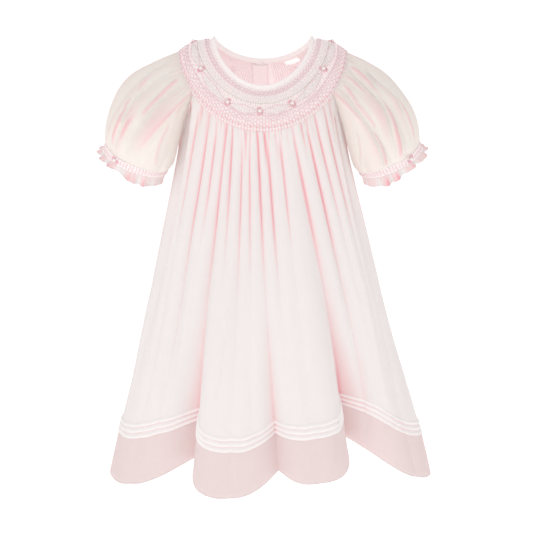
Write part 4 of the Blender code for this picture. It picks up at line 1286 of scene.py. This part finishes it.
CUFFS = {side: finish_piece(cuff(side), SMOCKED, "smocking", "cuff_" + side) for side in SIDE}
FRILLS = {side: finish_piece(frill(side), BATISTE, "batiste", "ruffle_" + side) for side in SIDE}


# %% [markdown]
# Smocking draws the cloth into pleats about two millimetres wide and then works rows of
# embroidery across them. The stitches hold neighbouring pleats together in turn, so the pleats
# lean one way and then the other, and small diamonds open between them.

# %% The smocked yoke
YOKE_END = math.pi - 0.5 / YOKE_EDGE["half_width"]
PLACKET_CLEAR_DEG = 8.0
STITCH_SHARES = np.array([0.04, 0.10, 0.16, 0.23, 0.32, 0.41, 0.50, 0.59, 0.66, 0.73, 0.80, 0.87, 0.94])
PLEAT_LEAN = 0.23
# Painted shade: the lowest pleats of the smocking are painted pinker, where they are drawn tightest and sit
# deepest in shade.
EDGE_SHADE = 0.28  # how much pinker the lowest pleats look, where they are drawn tightest


def pleat_lean(number, share):
    """How far a pleat leans towards a neighbour, as a share of a pleat."""
    row = np.interp(share, STITCH_SHARES, np.arange(len(STITCH_SHARES)))
    swing = np.cos(math.pi * row) * smooth((1.0 - share) / 0.06)
    return PLEAT_LEAN * swing * np.where(number % 2 == 0, 1.0, -1.0)


def yoke_relief_mask(angle):
    """0 under the placket at the middle back, 1 elsewhere."""
    return smooth((180.0 - PLACKET_CLEAR_DEG - np.degrees(np.abs(angle))) / 4.0 + 0.5)


def yoke_point(angle, share, lift):
    """A point on or above the yoke, lift in millimetres."""
    step = 0.004
    around = yoke_surface(angle + step, share) - yoke_surface(angle - step, share)
    down = yoke_surface(angle, np.minimum(share + 0.02, 1.02)) - yoke_surface(angle, share - 0.02)
    return yoke_surface(angle, share) + unit(np.cross(down, around)) * np.asarray(lift)[..., None]


def smocked_yoke():
    """The yoke's cloth, with every pleat."""
    columns = PLEATS * 4 + 1
    across = np.linspace(-YOKE_END, YOKE_END, columns)
    place = np.arange(columns) / 4.0
    number = np.floor(place)
    pleat = pleat_profile(place)
    shares = np.concatenate([np.linspace(-0.005, 0.9, 38)[:-1], np.linspace(0.9, 1.03, 8)])
    mask = yoke_relief_mask(across)
    grid, values = [], []
    for share in shares:
        lean = pleat_lean(number, share) * np.sin(math.pi * (place % 1.0)) * 2.0 * YOKE_END / PLEATS
        tight = 0.75 + 0.25 * np.cos(2.0 * math.pi * np.interp(
            share, STITCH_SHARES, np.arange(len(STITCH_SHARES))))
        height = PLEAT_HEIGHT * 1.25 * pleat * mix(1.0, 0.72, tight)
        height = mix(height, PLEAT_HEIGHT * (1.25 * pleat - 0.2), smooth((share - 0.9) / 0.1))
        height = height * mask - 0.5 * smooth((share - 1.0) / 0.025)
        grid.append(yoke_point(across + lean * mask, np.full(columns, share), height))
        # painted shade between the pleats, and more along the lower edge
        lower_edge_shade = EDGE_SHADE * smooth((share - 0.84) / 0.12)
        values.append(mix(0.25, 0.80 - 0.75 * pleat, mask) + lower_edge_shade)
    return cloth_piece("yoke_smocking", np.array(grid), False, {"fold": np.array(values), "doubled": 0.0})


YOKE = finish_piece(smocked_yoke(), SMOCKED, "smocking", "smocked_yoke")


# %% [markdown]
# The embroidery lies on the pleats. Each stitch is a short, plump thread from one pleat's crest to
# the next, so a stitch is a six-sided spindle, and a row of smocking is that spindle repeated
# round the yoke. A cable row runs level, and a wave row climbs and falls over a number of pleats.

# %% Rows of embroidery
PLUMP_THREAD = [(0.0, 0.25, 0.0), (0.22, 0.95, 0.55), (0.5, 1.0, 0.8), (0.78, 0.95, 0.55), (1.0, 0.25, 0.0)]
FINE_THREAD = [(0.0, 0.3, 0.0), (0.5, 1.0, 0.8), (1.0, 0.3, 0.0)]


def spindle_mesh(name, starts, ends, outs, radius, stations=PLUMP_THREAD, sides=6):
    """Short threads from starts to ends, joined in one mesh. outs point away from the cloth."""
    turns = np.arange(sides) * 2.0 * math.pi / sides
    vertices, faces = [], []
    for start, end, out in zip(starts, ends, outs):
        along = unit(end - start)
        side = unit(np.cross(along, out))
        first = len(vertices)
        for share, plump, rise in stations:
            middle = mix(start, end, share) + out * radius * rise
            for turn in turns:
                ring = side * math.cos(turn) + out * math.sin(turn)
                vertices.append(middle + ring * radius * plump)
        last = len(stations) - 1
        for k in range(last):
            for n in range(sides):
                a, b = first + k * sides + n, first + k * sides + (n + 1) % sides
                faces.append((a, b, b + sides, a + sides))
        faces.append(tuple(first + n for n in reversed(range(sides))))
        faces.append(tuple(first + last * sides + n for n in range(sides)))
    mesh = bpy.data.meshes.new(name)
    mesh.from_pydata((np.array(vertices) * MM).tolist(), [], faces)
    mesh.shade_smooth()
    piece = bpy.data.objects.new(name, mesh)
    bpy.context.scene.collection.objects.link(piece)
    return piece


# %% [markdown]
# A stitch has to sit on the crests of the pleats, so these helpers give a crest's place at any
# depth of the yoke. The pearls stand at the places that the photo shows, and at similar ones round
# the back. The rows between them swing in scallops from pearl to pearl.

# %% Crests, pearls and scallops
def crest_angle(number, share):
    """The angle of a pleat's crest at a share of the yoke's depth."""
    spacing = 2.0 * YOKE_END / PLEATS
    return -YOKE_END + (number + 0.5 + pleat_lean(number, share)) * spacing


def crest_point(number, share, lift=PLEAT_HEIGHT * 1.25 + 0.15):
    return yoke_point(crest_angle(number, share), share, np.full(np.shape(number), lift))


# Pearls: the angle round the yoke in degrees, and the share of its depth
PEARLS_AT = [
    (-153.0, 0.52),
    (-123.0, 0.52),
    (-92.0, 0.51),
    (-61.0, 0.50),
    (-27.8, 0.60),
    (-2.2, 0.58),
    (23.5, 0.56),
    (60.5, 0.48),
    (92.0, 0.51),
    (123.0, 0.52),
    (153.0, 0.52),
]
PEARL_DEGREES, PEARL_SHARES = np.array(PEARLS_AT).T


def between_pearls(angle):
    """0 at a pearl and 1 halfway between two, and the pearls' own share there."""
    degrees = np.degrees(angle)
    place = np.interp(degrees, PEARL_DEGREES, np.arange(len(PEARL_DEGREES)))
    return 1.0 - np.abs(2.0 * (place % 1.0) - 1.0), np.interp(degrees, PEARL_DEGREES, PEARL_SHARES)


# %% [markdown]
# One function draws every kind of row. A level row is a cable stitch, a short wave is a trellis,
# and a long swing makes the scallops.

# %% A row of stitches
def stitch_row(share, wave=0.0, period=8.0, start=0.0, swing=0.0, near_pearl=0.0, patch=0.0):
    """Starts and ends of one row's stitches, from each pleat's crest to the next. A wave climbs
    and falls over a number of pleats, and swing bends the row between the pearls. near_pearl
    moves the row to the pearls' own height, and patch keeps only the middle between them."""
    number = np.arange(3, PLEATS - 4)
    middle, pearl_share = between_pearls(crest_angle(number + 0.5, 0.5))
    if patch:
        number = number[middle > patch]

    def height(count):
        between, pearls = between_pearls(crest_angle(count, 0.5))
        phase = (count - PLEATS / 2.0) / period + start
        level = mix(share, share + pearls - 0.54, near_pearl)
        return level + swing * between + wave * (2.0 * np.abs(2.0 * (phase % 1.0) - 1.0) - 1.0)

    here, there = height(number), height(number + 1)
    first, last = crest_point(number, here), crest_point(number + 1, there)
    step_aside = 0.12 * np.where(number % 2 == 0, 1.0, -1.0)[:, None] * np.array([0.0, 0.0, 1.0])
    over = mix(first, last, -0.18) + step_aside, mix(first, last, 1.18) + step_aside
    outs = unit(yoke_point(crest_angle(number, here), here, np.ones(len(number))) - yoke_point(
        crest_angle(number, here), here, np.zeros(len(number))))
    return over[0], over[1], outs


def embroidery(name, rows, radius, made):
    """Several rows of stitches in one colour of floss."""
    parts = [stitch_row(**row) for row in rows]
    starts, ends, outs = (np.concatenate([part[i] for part in parts]) for i in range(3))
    piece = spindle_mesh(name, starts, ends, outs, radius)
    print(name, "stitches:", len(starts))
    return finish_piece(piece, made, "smocking")


# %% [markdown]
# In each colour the rows are listed from the neck downwards, by their share of the yoke's depth.
# Together they give waves and a trellis at the top, plain lines in cream and green, scallops round
# the pearls, and closer waves down to the lower edge.

# %% The rows in three colours of floss
PINK_ROWS = [
    dict(share=0.09, wave=0.020, period=2.0),
    dict(share=0.16, wave=0.028, period=4.0),
    dict(share=0.16, wave=0.028, period=4.0, start=0.5),
    dict(share=0.54, near_pearl=1.0, swing=-0.11),
    dict(share=0.555, near_pearl=1.0, swing=0.105),
    dict(share=0.68, wave=0.020, period=4.0, swing=0.03),
    dict(share=0.68, wave=0.020, period=4.0, start=0.5, swing=0.03),
    dict(share=0.77, wave=0.030, period=2.0),
    dict(share=0.86, wave=0.028, period=2.0, swing=-0.03),
    dict(share=0.94, wave=0.024, period=2.0, swing=-0.01),
]
CREAM_ROWS = [
    dict(share=0.265),
    dict(share=0.33),
    dict(share=0.51, near_pearl=1.0, swing=-0.02, patch=0.35),
    dict(share=0.545, near_pearl=1.0, patch=0.25),
    dict(share=0.58, near_pearl=1.0, swing=0.02, patch=0.35),
    dict(share=0.985, wave=0.008, period=2.0),
]
GREEN_ROWS = [dict(share=0.395)]
FLOSS = [
    embroidery("smocking_pink", PINK_ROWS, 0.42, PINK_FLOSS),
    embroidery("smocking_cream", CREAM_ROWS, 0.40, CREAM_FLOSS),
    embroidery("smocking_green", GREEN_ROWS, 0.34, GREEN_FLOSS),
]


# %% [markdown]
# The cuffs are drawn in by two rows of the same pink floss, in a zigzag over their pleats.

# %% Floss round the cuffs
def cuff_stitches(side):
    """Two rows of floss round the cuff's pleats."""
    number = np.arange(CUFF_PLEATS)
    starts, ends, outs = [], [], []
    for along, lean in ((CUFF_HEIGHT * 0.3, 0.45), (CUFF_HEIGHT * 0.7, -0.45)):
        zigzag = np.where(number % 2 == 0, lean, -lean)
        here, there = (number + 0.5) * 360.0 / CUFF_PLEATS, (number + 1.5) * 360.0 / CUFF_PLEATS
        stand = 0.5 + 0.75 * 0.95
        starts.append(cuff_ring(side, here, along - zigzag, np.full(CUFF_PLEATS, stand)))
        ends.append(cuff_ring(side, there, along + zigzag, np.full(CUFF_PLEATS, stand)))
        outs.append(unit(starts[-1] - CUFF_CENTRE))
    starts, ends, outs = (np.concatenate(x) * (SIDE[side], 1.0, 1.0) for x in (starts, ends, outs))
    piece = spindle_mesh("cuff_stitches_" + side, starts, ends, outs, 0.4)
    return finish_piece(piece, PINK_FLOSS, "smocking")


CUFF_FLOSS = {side: cuff_stitches(side) for side in SIDE}


# %% [markdown]
# A pearl bead with a little rose of bullion knots sits where two scallops meet. A bullion knot is
# a coil of floss, and round a bead it reads as a curved sausage. One knot is modelled from a torus
# with most of its ring cut away, and copied. The bead is a sphere, flattened where its thread
# goes in.

# %% Pearls and roses
PEARL_RADIUS = 1.9
KNOT_RADIUS = 2.7
KNOT_THICKNESS = 0.72
KNOT_TURN = math.radians(60.0)


def bead():
    """A pearl bead, a little flattened at both ends of its thread hole, along X."""
    deselect_all()
    bpy.ops.mesh.primitive_uv_sphere_add(segments=20, ring_count=12, radius=PEARL_RADIUS * MM)
    piece = bpy.context.object
    piece.name = "pearl_bead"
    bpy.ops.object.mode_set(mode="EDIT")
    bpy.ops.mesh.select_all(action="DESELECT")
    bpy.ops.object.mode_set(mode="OBJECT")
    for face in piece.data.polygons:
        face.select = abs(face.center.z) > 0.93 * PEARL_RADIUS * MM
    bpy.ops.object.mode_set(mode="EDIT")
    bpy.ops.transform.resize(value=(1.0, 1.0, 0.86))
    bpy.ops.object.mode_set(mode="OBJECT")
    bpy.ops.object.shade_smooth()
    piece.data.transform(Matrix.Rotation(math.radians(90.0), 4, "Y"))
    return piece


def knot():
    """One bullion knot: a sixth of a ring of floss, with closed ends."""
    deselect_all()
    bpy.ops.mesh.primitive_torus_add(
        major_radius=KNOT_RADIUS * MM, minor_radius=KNOT_THICKNESS * MM, major_segments=24, minor_segments=8
    )
    piece = bpy.context.object
    piece.name = "bullion_knot"
    bpy.ops.object.mode_set(mode="EDIT")
    for normal in ((0.0, -1.0, 0.0), (-math.sin(KNOT_TURN), math.cos(KNOT_TURN), 0.0)):
        bpy.ops.mesh.select_all(action="SELECT")
        bpy.ops.mesh.bisect(plane_co=(0.0, 0.0, 0.0), plane_no=normal, clear_outer=True, use_fill=True)
    bpy.ops.object.mode_set(mode="OBJECT")
    bpy.ops.object.shade_smooth()
    return piece


# %% [markdown]
# Each small piece is modelled once, at the origin. A copy gets its own mesh, and its place goes
# into that mesh, so every finished object stays unturned and unscaled.

# %% Copies put in place
def placed_copy(source, name, point, out, spin_deg=0.0, scale=1.0):
    """A copy of a small piece, its +Z turned along out, with its place put in its mesh."""
    mesh = source.data.copy()
    turn = Vector((0.0, 0.0, 1.0)).rotation_difference(Vector(out)).to_matrix().to_4x4()
    spin = Matrix.Rotation(math.radians(spin_deg), 4, "Z")
    mesh.transform(Matrix.Translation(Vector(point) * MM) @ turn @ spin @ Matrix.Scale(scale, 4))
    piece = bpy.data.objects.new(name, mesh)
    bpy.context.scene.collection.objects.link(piece)
    return piece


def joined(name, pieces):
    """Several pieces as one object."""
    deselect_all()
    for piece in pieces:
        piece.select_set(True)
    bpy.context.view_layer.objects.active = pieces[0]
    bpy.ops.object.join()
    pieces[0].name = name
    return pieces[0]


BEAD, KNOT = bead(), knot()


def rose(name, point, out, spin_deg):
    """A bead with three knots round it and two more outside them."""
    bead_piece = placed_copy(BEAD, name + "_pearl", point + out * 1.6, out, spin_deg)
    inner = [(0.5, spin_deg + 120.0 * k, 1.0) for k in range(3)]
    outer = [(0.2, spin_deg + 50.0 + 180.0 * k, 1.3) for k in range(2)]
    knots = [placed_copy(KNOT, name + "_knot", point + out * lift, out, turn, scale)
             for lift, turn, scale in inner + outer]
    return bead_piece, knots


# %% [markdown]
# The roses are set on the yoke and one on the front of each cuff. Beads and knots are then joined
# into one piece each, because they are sewn on and never move on their own.

# %% Roses on the yoke and the cuffs
beads, knots = [], []
for count, (degrees, share) in enumerate(PEARLS_AT):
    ground, above = (yoke_point(math.radians(degrees), share, lift) for lift in (0.0, 1.0))
    out = above - ground
    bead_piece, rose_knots = rose("rose_%d" % count, ground + out * 1.1, out, 40.0 * count)
    beads.append(bead_piece)
    knots += rose_knots
for side in SIDE:
    at = np.array([58.0])
    ground = cuff_ring(side, at, np.array([CUFF_HEIGHT * 0.5]), np.array([0.9]))[0]
    out = unit(cuff_ring(side, at, np.array([CUFF_HEIGHT * 0.5]), np.array([2.0]))[0] - ground)
    flip = np.array([SIDE[side], 1.0, 1.0])
    bead_piece, rose_knots = rose("rose_cuff_" + side, ground * flip, out * flip, 20.0)
    beads.append(bead_piece)
    knots += rose_knots
print("pearls:", len(beads), "knots:", len(knots))
PEARLS = finish_piece(joined("pearls", beads), PEARL, "button")
ROSES = finish_piece(joined("bullion_roses", knots), ROSE_FLOSS, "smocking")
for source in (BEAD, KNOT):
    bpy.data.objects.remove(source)


# %% [markdown]
# The neck is bound with a bias strip, folded in four, so it is a plump band that stands on the
# edge of the smocking. Its section is a narrow loop, drawn round the neck.

# %% Neck binding
BINDING_HEIGHT = 5.0
BINDING_THICKNESS = 2.2
BINDING_UPRIGHT = 1.0  # how much steeper than the yoke the binding stands


def neck_binding():
    """The band's section, carried round the neck as a closed tube with closed ends."""
    end = math.pi - 0.1 / NECK["half_width"]
    angle = np.linspace(-end, end, 221)
    neck = oval(NECK, angle)
    up = unit(unit(neck - oval(YOKE_EDGE, angle)) + np.array([0.0, 0.0, BINDING_UPRIGHT]))
    around = np.gradient(neck, axis=0)
    out = unit(np.cross(around, up))
    turns = np.linspace(0.0, 2.0 * math.pi, 21)[:-1]
    rise = BINDING_HEIGHT / 2.0 - np.cos(turns) * (BINDING_HEIGHT / 2.0 + 0.3)
    side = np.sin(turns) * BINDING_THICKNESS / 2.0
    side = np.sign(side) * np.abs(side) ** 0.75
    wander = 0.12 * np.sin(angle * 37.0) + 0.10 * np.sin(angle * 61.0 + 1.0)
    aside = (side[:, None] * (1.0 + wander))[..., None]
    grid = neck[None] + up[None] * rise[:, None, None] + out[None] * aside
    mesh = bpy.data.meshes.new("neck_band")
    count, size = grid.shape[1], grid.shape[0]
    faces = []
    for i in range(size):
        here, there = i * count, (i + 1) % size * count
        faces += [(here + k, there + k, there + k + 1, here + k + 1) for k in range(count - 1)]
    faces.append([i * count for i in range(size)][::-1])
    faces.append([i * count + count - 1 for i in range(size)])
    mesh.from_pydata((grid.reshape(-1, 3) * MM).tolist(), [], faces)
    layer = mesh.uv_layers.new(name="cloth")
    length = np.linalg.norm(around, axis=1).cumsum() * MM
    corners = np.empty(len(mesh.loops), dtype=np.int64)
    mesh.loops.foreach_get("vertex_index", corners)
    uv = np.stack([length[corners % count], (corners // count) * 0.0007], axis=-1)
    layer.data.foreach_set("uv", uv.ravel())
    for label, value in (("fold", 0.05), ("doubled", 0.0)):
        mesh.attributes.new(label, "FLOAT", "POINT").data.foreach_set("value", np.full(size * count, value))
    piece = bpy.data.objects.new("neck_band", mesh)
    bpy.context.scene.collection.objects.link(piece)
    make_active(piece)
    bpy.ops.object.mode_set(mode="EDIT")
    bpy.ops.mesh.select_all(action="SELECT")
    bpy.ops.mesh.normals_make_consistent(inside=False)
    bpy.ops.object.mode_set(mode="OBJECT")
    mesh.shade_smooth()
    return piece


BAND = finish_piece(neck_binding(), BINDING, "binding", "neck_binding")


# %% [markdown]
# The back opens on a placket: a strip outside with the buttonholes, and another below it with the
# buttons. Both run from the neck over the smocking and a quarter of the way down the skirt.

# %% Placket strips and label
LAID_ON = 1.65  # how far the strip lies outside the back's surface, and the underlap inside
LAID_UNDER = 2.0
UNDERLAP_WIDTH = 16.0
UNDERLAP_SHIFT = -3.0


def back_point(down, across):
    """Points of the middle back by the distance across it. down is 0 to 1 on the yoke, and
    above 1 it is on the skirt, by 1 more than the level there."""
    if down <= 1.0:
        width = mix(NECK["half_width"], YOKE_EDGE["half_width"], down)
        return yoke_surface(math.pi - across / width, down)
    width = RAGLAN_DEG / 90.0 * YOKE_EDGE["half_width"] * math.pi / 2.0 / YOKE_SHARE
    width = mix(width, HEM_HALF_WIDTH * math.pi / 2.0, down - 1.0)
    station = 2.0 - across / width
    return skirt_point(np.where(station > 2.0, station - 4.0, station), down - 1.0, fine=False)


def back_strip(name, width, shift, offset, first, last):
    """A strip laid along the middle back, with pressed edges."""
    across = np.linspace(width / 2.0, -width / 2.0, 21) + shift
    rows = np.concatenate([np.linspace(first, 1.0, 30)[:-1], np.linspace(1.0, last, 50)])
    grid = np.array([back_point(row, across) for row in rows])
    edge = 1.0 - smooth((width / 2.0 - np.abs(across - shift)) / 1.2)
    puckers = 0.10 * np.sin(np.arange(len(rows)) * 1.9)[:, None] * edge
    lift = offset - math.copysign(0.35, offset) * edge[None, :] + puckers
    grid = grid + normals_of(grid, False) * lift[..., None]
    # painted shade on the strip, a little more along its turned edges
    values = 0.28 + 0.25 * edge[None, :] + np.zeros((len(rows), 1))
    return cloth_piece(name, grid, False, {"fold": values, "doubled": 0.12}, 0.8)


PLACKET = back_strip("placket_strip", PLACKET_WIDTH, 0.0, LAID_ON, 0.015, 1.0 + PLACKET_END)
UNDERLAP = back_strip(
    "placket_under", UNDERLAP_WIDTH, UNDERLAP_SHIFT, -LAID_UNDER, 0.03, 0.98 + PLACKET_END
)
finish_piece(PLACKET, BATISTE, "batiste", "placket")
finish_piece(UNDERLAP, BATISTE, "batiste", "placket_underlap")


# %% [markdown]
# The label hangs inside the back of the neck. It is a plain ribbon, a little bowed, sewn along its
# top edge.

# %% The label
LABEL_WIDTH = 15.0
LABEL_DROP = 10.0
LABEL_DEG = 147.0
YOKE_DEPTH = 48.0  # from the neck to the lower edge of the smocking


def neck_label():
    """A blank ribbon label, a little bowed, sewn along its top edge."""
    half = math.degrees(LABEL_WIDTH / NECK["half_width"]) / 2.0
    angle = np.radians(np.linspace(LABEL_DEG - half, LABEL_DEG + half, 17))
    shares = np.linspace(0.01, LABEL_DROP / YOKE_DEPTH, 12)
    grid = np.array([yoke_surface(angle, share) for share in shares])
    bow = 0.5 * np.sin(np.linspace(0.0, math.pi, 17))[None, :] * np.linspace(0.0, 1.0, 12)[:, None]
    grid = grid - normals_of(grid, False) * (LAID_UNDER + bow)[..., None]
    return cloth_piece("label_blank", grid, False, {"fold": 0.1, "doubled": 0.0}, 0.5)


LABEL = finish_piece(neck_label(), RIBBON, "label", "neck_label")
LABEL.data.materials[1] = RIBBON


# %% [markdown]
# The buttons are small shirt buttons with four holes. Each starts as a disc: its face is inset
# and sunk to leave a rim, its edges are rounded, and four holes are cut right through.

# %% Buttons
BUTTON_RADIUS = 5.2
BUTTON_THICKNESS = 2.2
BUTTON_PLACES = (0.30, 1.03, 1.17)
SEAM = 0.42


def button_form():
    """One button, face up, at the origin."""
    deselect_all()
    bpy.ops.mesh.primitive_cylinder_add(vertices=40, radius=BUTTON_RADIUS * MM, depth=BUTTON_THICKNESS * MM)
    piece = bpy.context.object
    piece.name = "button_form"
    for face in piece.data.polygons:
        face.select = face.normal.z > 0.9
    bpy.ops.object.mode_set(mode="EDIT")
    bpy.ops.mesh.inset(thickness=1.2 * MM)
    bpy.ops.transform.translate(value=(0.0, 0.0, -0.7 * MM))
    bpy.ops.mesh.inset(thickness=0.5 * MM)
    bpy.ops.object.mode_set(mode="OBJECT")
    rim = piece.modifiers.new("rim", "BEVEL")
    rim.width = 0.35 * MM
    rim.segments = 3
    rim.angle_limit = math.radians(40.0)
    apply_modifiers(piece)
    for x, y in ((1.0, 1.0), (-1.0, 1.0), (-1.0, -1.0), (1.0, -1.0)):
        deselect_all()
        bpy.ops.mesh.primitive_cylinder_add(
            vertices=12, radius=0.55 * MM, depth=6.0 * MM, location=(x * MM, y * MM, 0.0)
        )
        cutter = bpy.context.object
        hole = piece.modifiers.new("hole", "BOOLEAN")
        hole.operation = "DIFFERENCE"
        hole.object = cutter
        apply_modifiers(piece)
        bpy.data.objects.remove(cutter)
    make_active(piece)
    bpy.ops.object.shade_smooth_by_angle(angle=math.radians(35.0))
    return piece


# %% [markdown]
# Three buttons are sewn through the placket. Each one faces straight out from the back, and two
# crossed threads fill its holes.

# %% Buttons on the placket
BUTTON_FORM = button_form()
BUTTONS = []
for number, down in enumerate(BUTTON_PLACES, start=1):
    across = np.array([-0.5, 0.0, 0.5])
    above, here, below = (back_point(down + step, across) for step in (-0.02, 0.0, 0.02))
    out = unit(np.cross(below[1] - above[1], here[0] - here[2]))
    stand = LAID_ON + CLOTH / 2.0 + SEAM + BUTTON_THICKNESS / 2.0
    centre = here[1] + out * stand
    piece = placed_copy(BUTTON_FORM, "shirt_button_%d" % number, centre, out)
    BUTTONS.append(finish_piece(piece, BUTTON, "button", "button_%d" % number))
    aside = unit(np.cross(out, np.array([0.0, 0.0, 1.0])))
    upward = np.cross(aside, out)
    holes, surface = np.array([aside + upward, aside - upward]), centre + out * 0.45
    threads = spindle_mesh(
        "button_thread_%d" % number, surface + holes, surface - holes, np.array([out, out]), 0.3
    )
    finish_piece(threads, SEWING, "batiste")
bpy.data.objects.remove(BUTTON_FORM)
print("buttons:", len(BUTTONS))


# %% [markdown]
# Small machine stitches hold the tucks, the hem and the placket. Seen from a step away they only
# draw a fine line, so each line is a row of short spindles laid on the cloth.

# %% Sewing lines
STITCH_SPACING = 2.2
STITCH_COVER = 0.72  # the share of the spacing that shows as thread
THREAD_RADIUS = 0.16


def along_line(points, outs):
    """Starts, ends and outward directions of stitches along a line of points."""
    lengths = np.linalg.norm(np.diff(points, axis=0), axis=1)
    travelled = np.concatenate([[0.0], np.cumsum(lengths)])
    starts_at = np.arange(0.0, travelled[-1] - STITCH_SPACING, STITCH_SPACING)
    ends_at = starts_at + STITCH_SPACING * STITCH_COVER

    def at(distance, values):
        return np.stack([np.interp(distance, travelled, values[:, axis]) for axis in range(3)], axis=-1)

    return at(starts_at, points), at(ends_at, points), unit(at(starts_at, outs))


def sewing(name, lines):
    """Lines of stitches in one piece."""
    parts = [along_line(points, outs) for points, outs in lines]
    starts, ends, outs = (np.concatenate([part[i] for part in parts]) for i in range(3))
    print(name, "stitches:", len(starts))
    piece = spindle_mesh(name, starts, ends, outs, THREAD_RADIUS, FINE_THREAD, 4)
    return finish_piece(piece, SEWING, "batiste")


def hem_lines(grid):
    """The stitched line just above each tuck's slope, and the one that holds the hem."""
    levels = body_rows()[0]
    outs = normals_of(grid, False)
    lines = []
    for height in TUCK_HEIGHTS:
        row = int(np.argmin(np.abs(levels - (1.0 - (height + TUCK_SLOPE) / PANEL_LENGTH))))
        lines.append((grid[row] + outs[row] * 0.35, outs[row]))
    row = int(np.argmin(np.abs(levels - (1.0 - (TUCK_HEIGHTS[-1] - 2.0) / PANEL_LENGTH))))
    lines.append((grid[row] + outs[row] * 0.35, outs[row]))
    return lines


PANEL_GRIDS = {"front": FRONT_GRID, "back_right": BACK_RIGHT_GRID, "back_left": BACK_LEFT_GRID}
HEM_SEWING = {
    label: sewing("tuck_stitches_" + label, hem_lines(grid)) for label, grid in PANEL_GRIDS.items()
}


def placket_lines():
    """Topstitching down both edges of the placket."""
    rows = np.concatenate([np.linspace(0.03, 1.0, 30)[:-1], np.linspace(1.0, 0.99 + PLACKET_END, 50)])
    lines = []
    for across in (PLACKET_WIDTH / 2.0 - 1.8, 1.8 - PLACKET_WIDTH / 2.0):
        strip = np.array([back_point(row, np.array([across + 0.5, across, across - 0.5])) for row in rows])
        outs = normals_of(strip, False)
        lines.append((strip[:, 1] + outs[:, 1] * (LAID_ON + 0.45), outs[:, 1]))
    return lines


PLACKET_SEWING = sewing("placket_stitches", placket_lines())


# %% [markdown]


# %% [markdown]
# The photo is a cut-out on white, lit softly from all round. A white world gives that, with a
# large soft key from the upper left and a pale floor as far below the hem as a child's feet would
# be. The camera looks down a little from in front, at the angle that the curves of the hem and
# the yoke give.

# %% Floor, light and camera
FLOOR_Z = -0.80
CAMERA_PLACE = Vector((0.0037, -1.35, 0.10))
CAMERA_AIM = Vector((0.0037, 0.0, -0.241))
LENS = 89.57
WORLD_STRENGTH = 0.65
KEY_POWER = 8.2
FILL_POWER = 1.8
BACK_POWER = 3.5
FLOOR_GLOW = 0.50  # keeps the paper white out to the edges of the picture


def floor():
    """A sheet of pale paper with a faint grain."""
    deselect_all()
    bpy.ops.mesh.primitive_plane_add(size=90.0, location=(0.0, 0.0, FLOOR_Z))
    piece = bpy.context.object
    piece.name = "studio_floor"
    made, nodes, links, shader = new_material("floor_paper", Roughness=0.9)
    mottle(nodes, links, shader, 3.0, (0.96, 0.96, 0.96), (0.98, 0.98, 0.98))
    shader.inputs["Emission Color"].default_value = (1.0, 1.0, 1.0, 1.0)
    shader.inputs["Emission Strength"].default_value = FLOOR_GLOW
    piece.data.materials.append(made)


# %% [markdown]
# Three soft lights help the white world: a key from the upper left, a weak fill from the right,
# and one behind that keeps the sheer cloth and the inside of the neck bright.

# %% Lights
def area_light(name, place, aim, size, power):
    """A soft square light at a place, turned towards its aim."""
    deselect_all()
    bpy.ops.object.light_add(type="AREA", location=place)
    light = bpy.context.object
    light.name = name
    light.data.size = size
    light.data.energy = power
    light.rotation_euler = (Vector(aim) - Vector(place)).to_track_quat("-Z", "Y").to_euler()


floor()
area_light("key_light", (-0.9, -1.6, 1.0), (0.0, 0.0, -0.22), 0.9, KEY_POWER)
area_light("fill_light", (1.6, -0.8, 0.2), (0.0, 0.0, -0.25), 1.4, FILL_POWER)
area_light("back_light", (0.5, 1.8, 0.7), (0.0, 0.0, -0.22), 1.2, BACK_POWER)
world = bpy.data.worlds.new("white_studio")
bpy.context.scene.world = world
world.use_nodes = True
sky = world.node_tree.nodes["Background"]
sky.inputs["Color"].default_value = (1.0, 0.995, 0.99, 1.0)
sky.inputs["Strength"].default_value = WORLD_STRENGTH


# %% [markdown]
# The camera has a long lens and stands more than a metre away, so perspective stays weak, as in
# the photo.

# %% Camera
bpy.ops.object.camera_add(location=CAMERA_PLACE)
camera = bpy.context.object
camera.name = "photo_camera"
camera.data.lens = LENS
camera.data.sensor_width = 36.0
camera.rotation_euler = (CAMERA_AIM - CAMERA_PLACE).to_track_quat("-Z", "Y").to_euler()
bpy.context.scene.camera = camera
bpy.context.scene.view_settings.view_transform = "Standard"
bpy.context.scene.view_settings.look = "None"
print("camera:", [round(x, 3) for x in camera.location], "lens:", LENS)
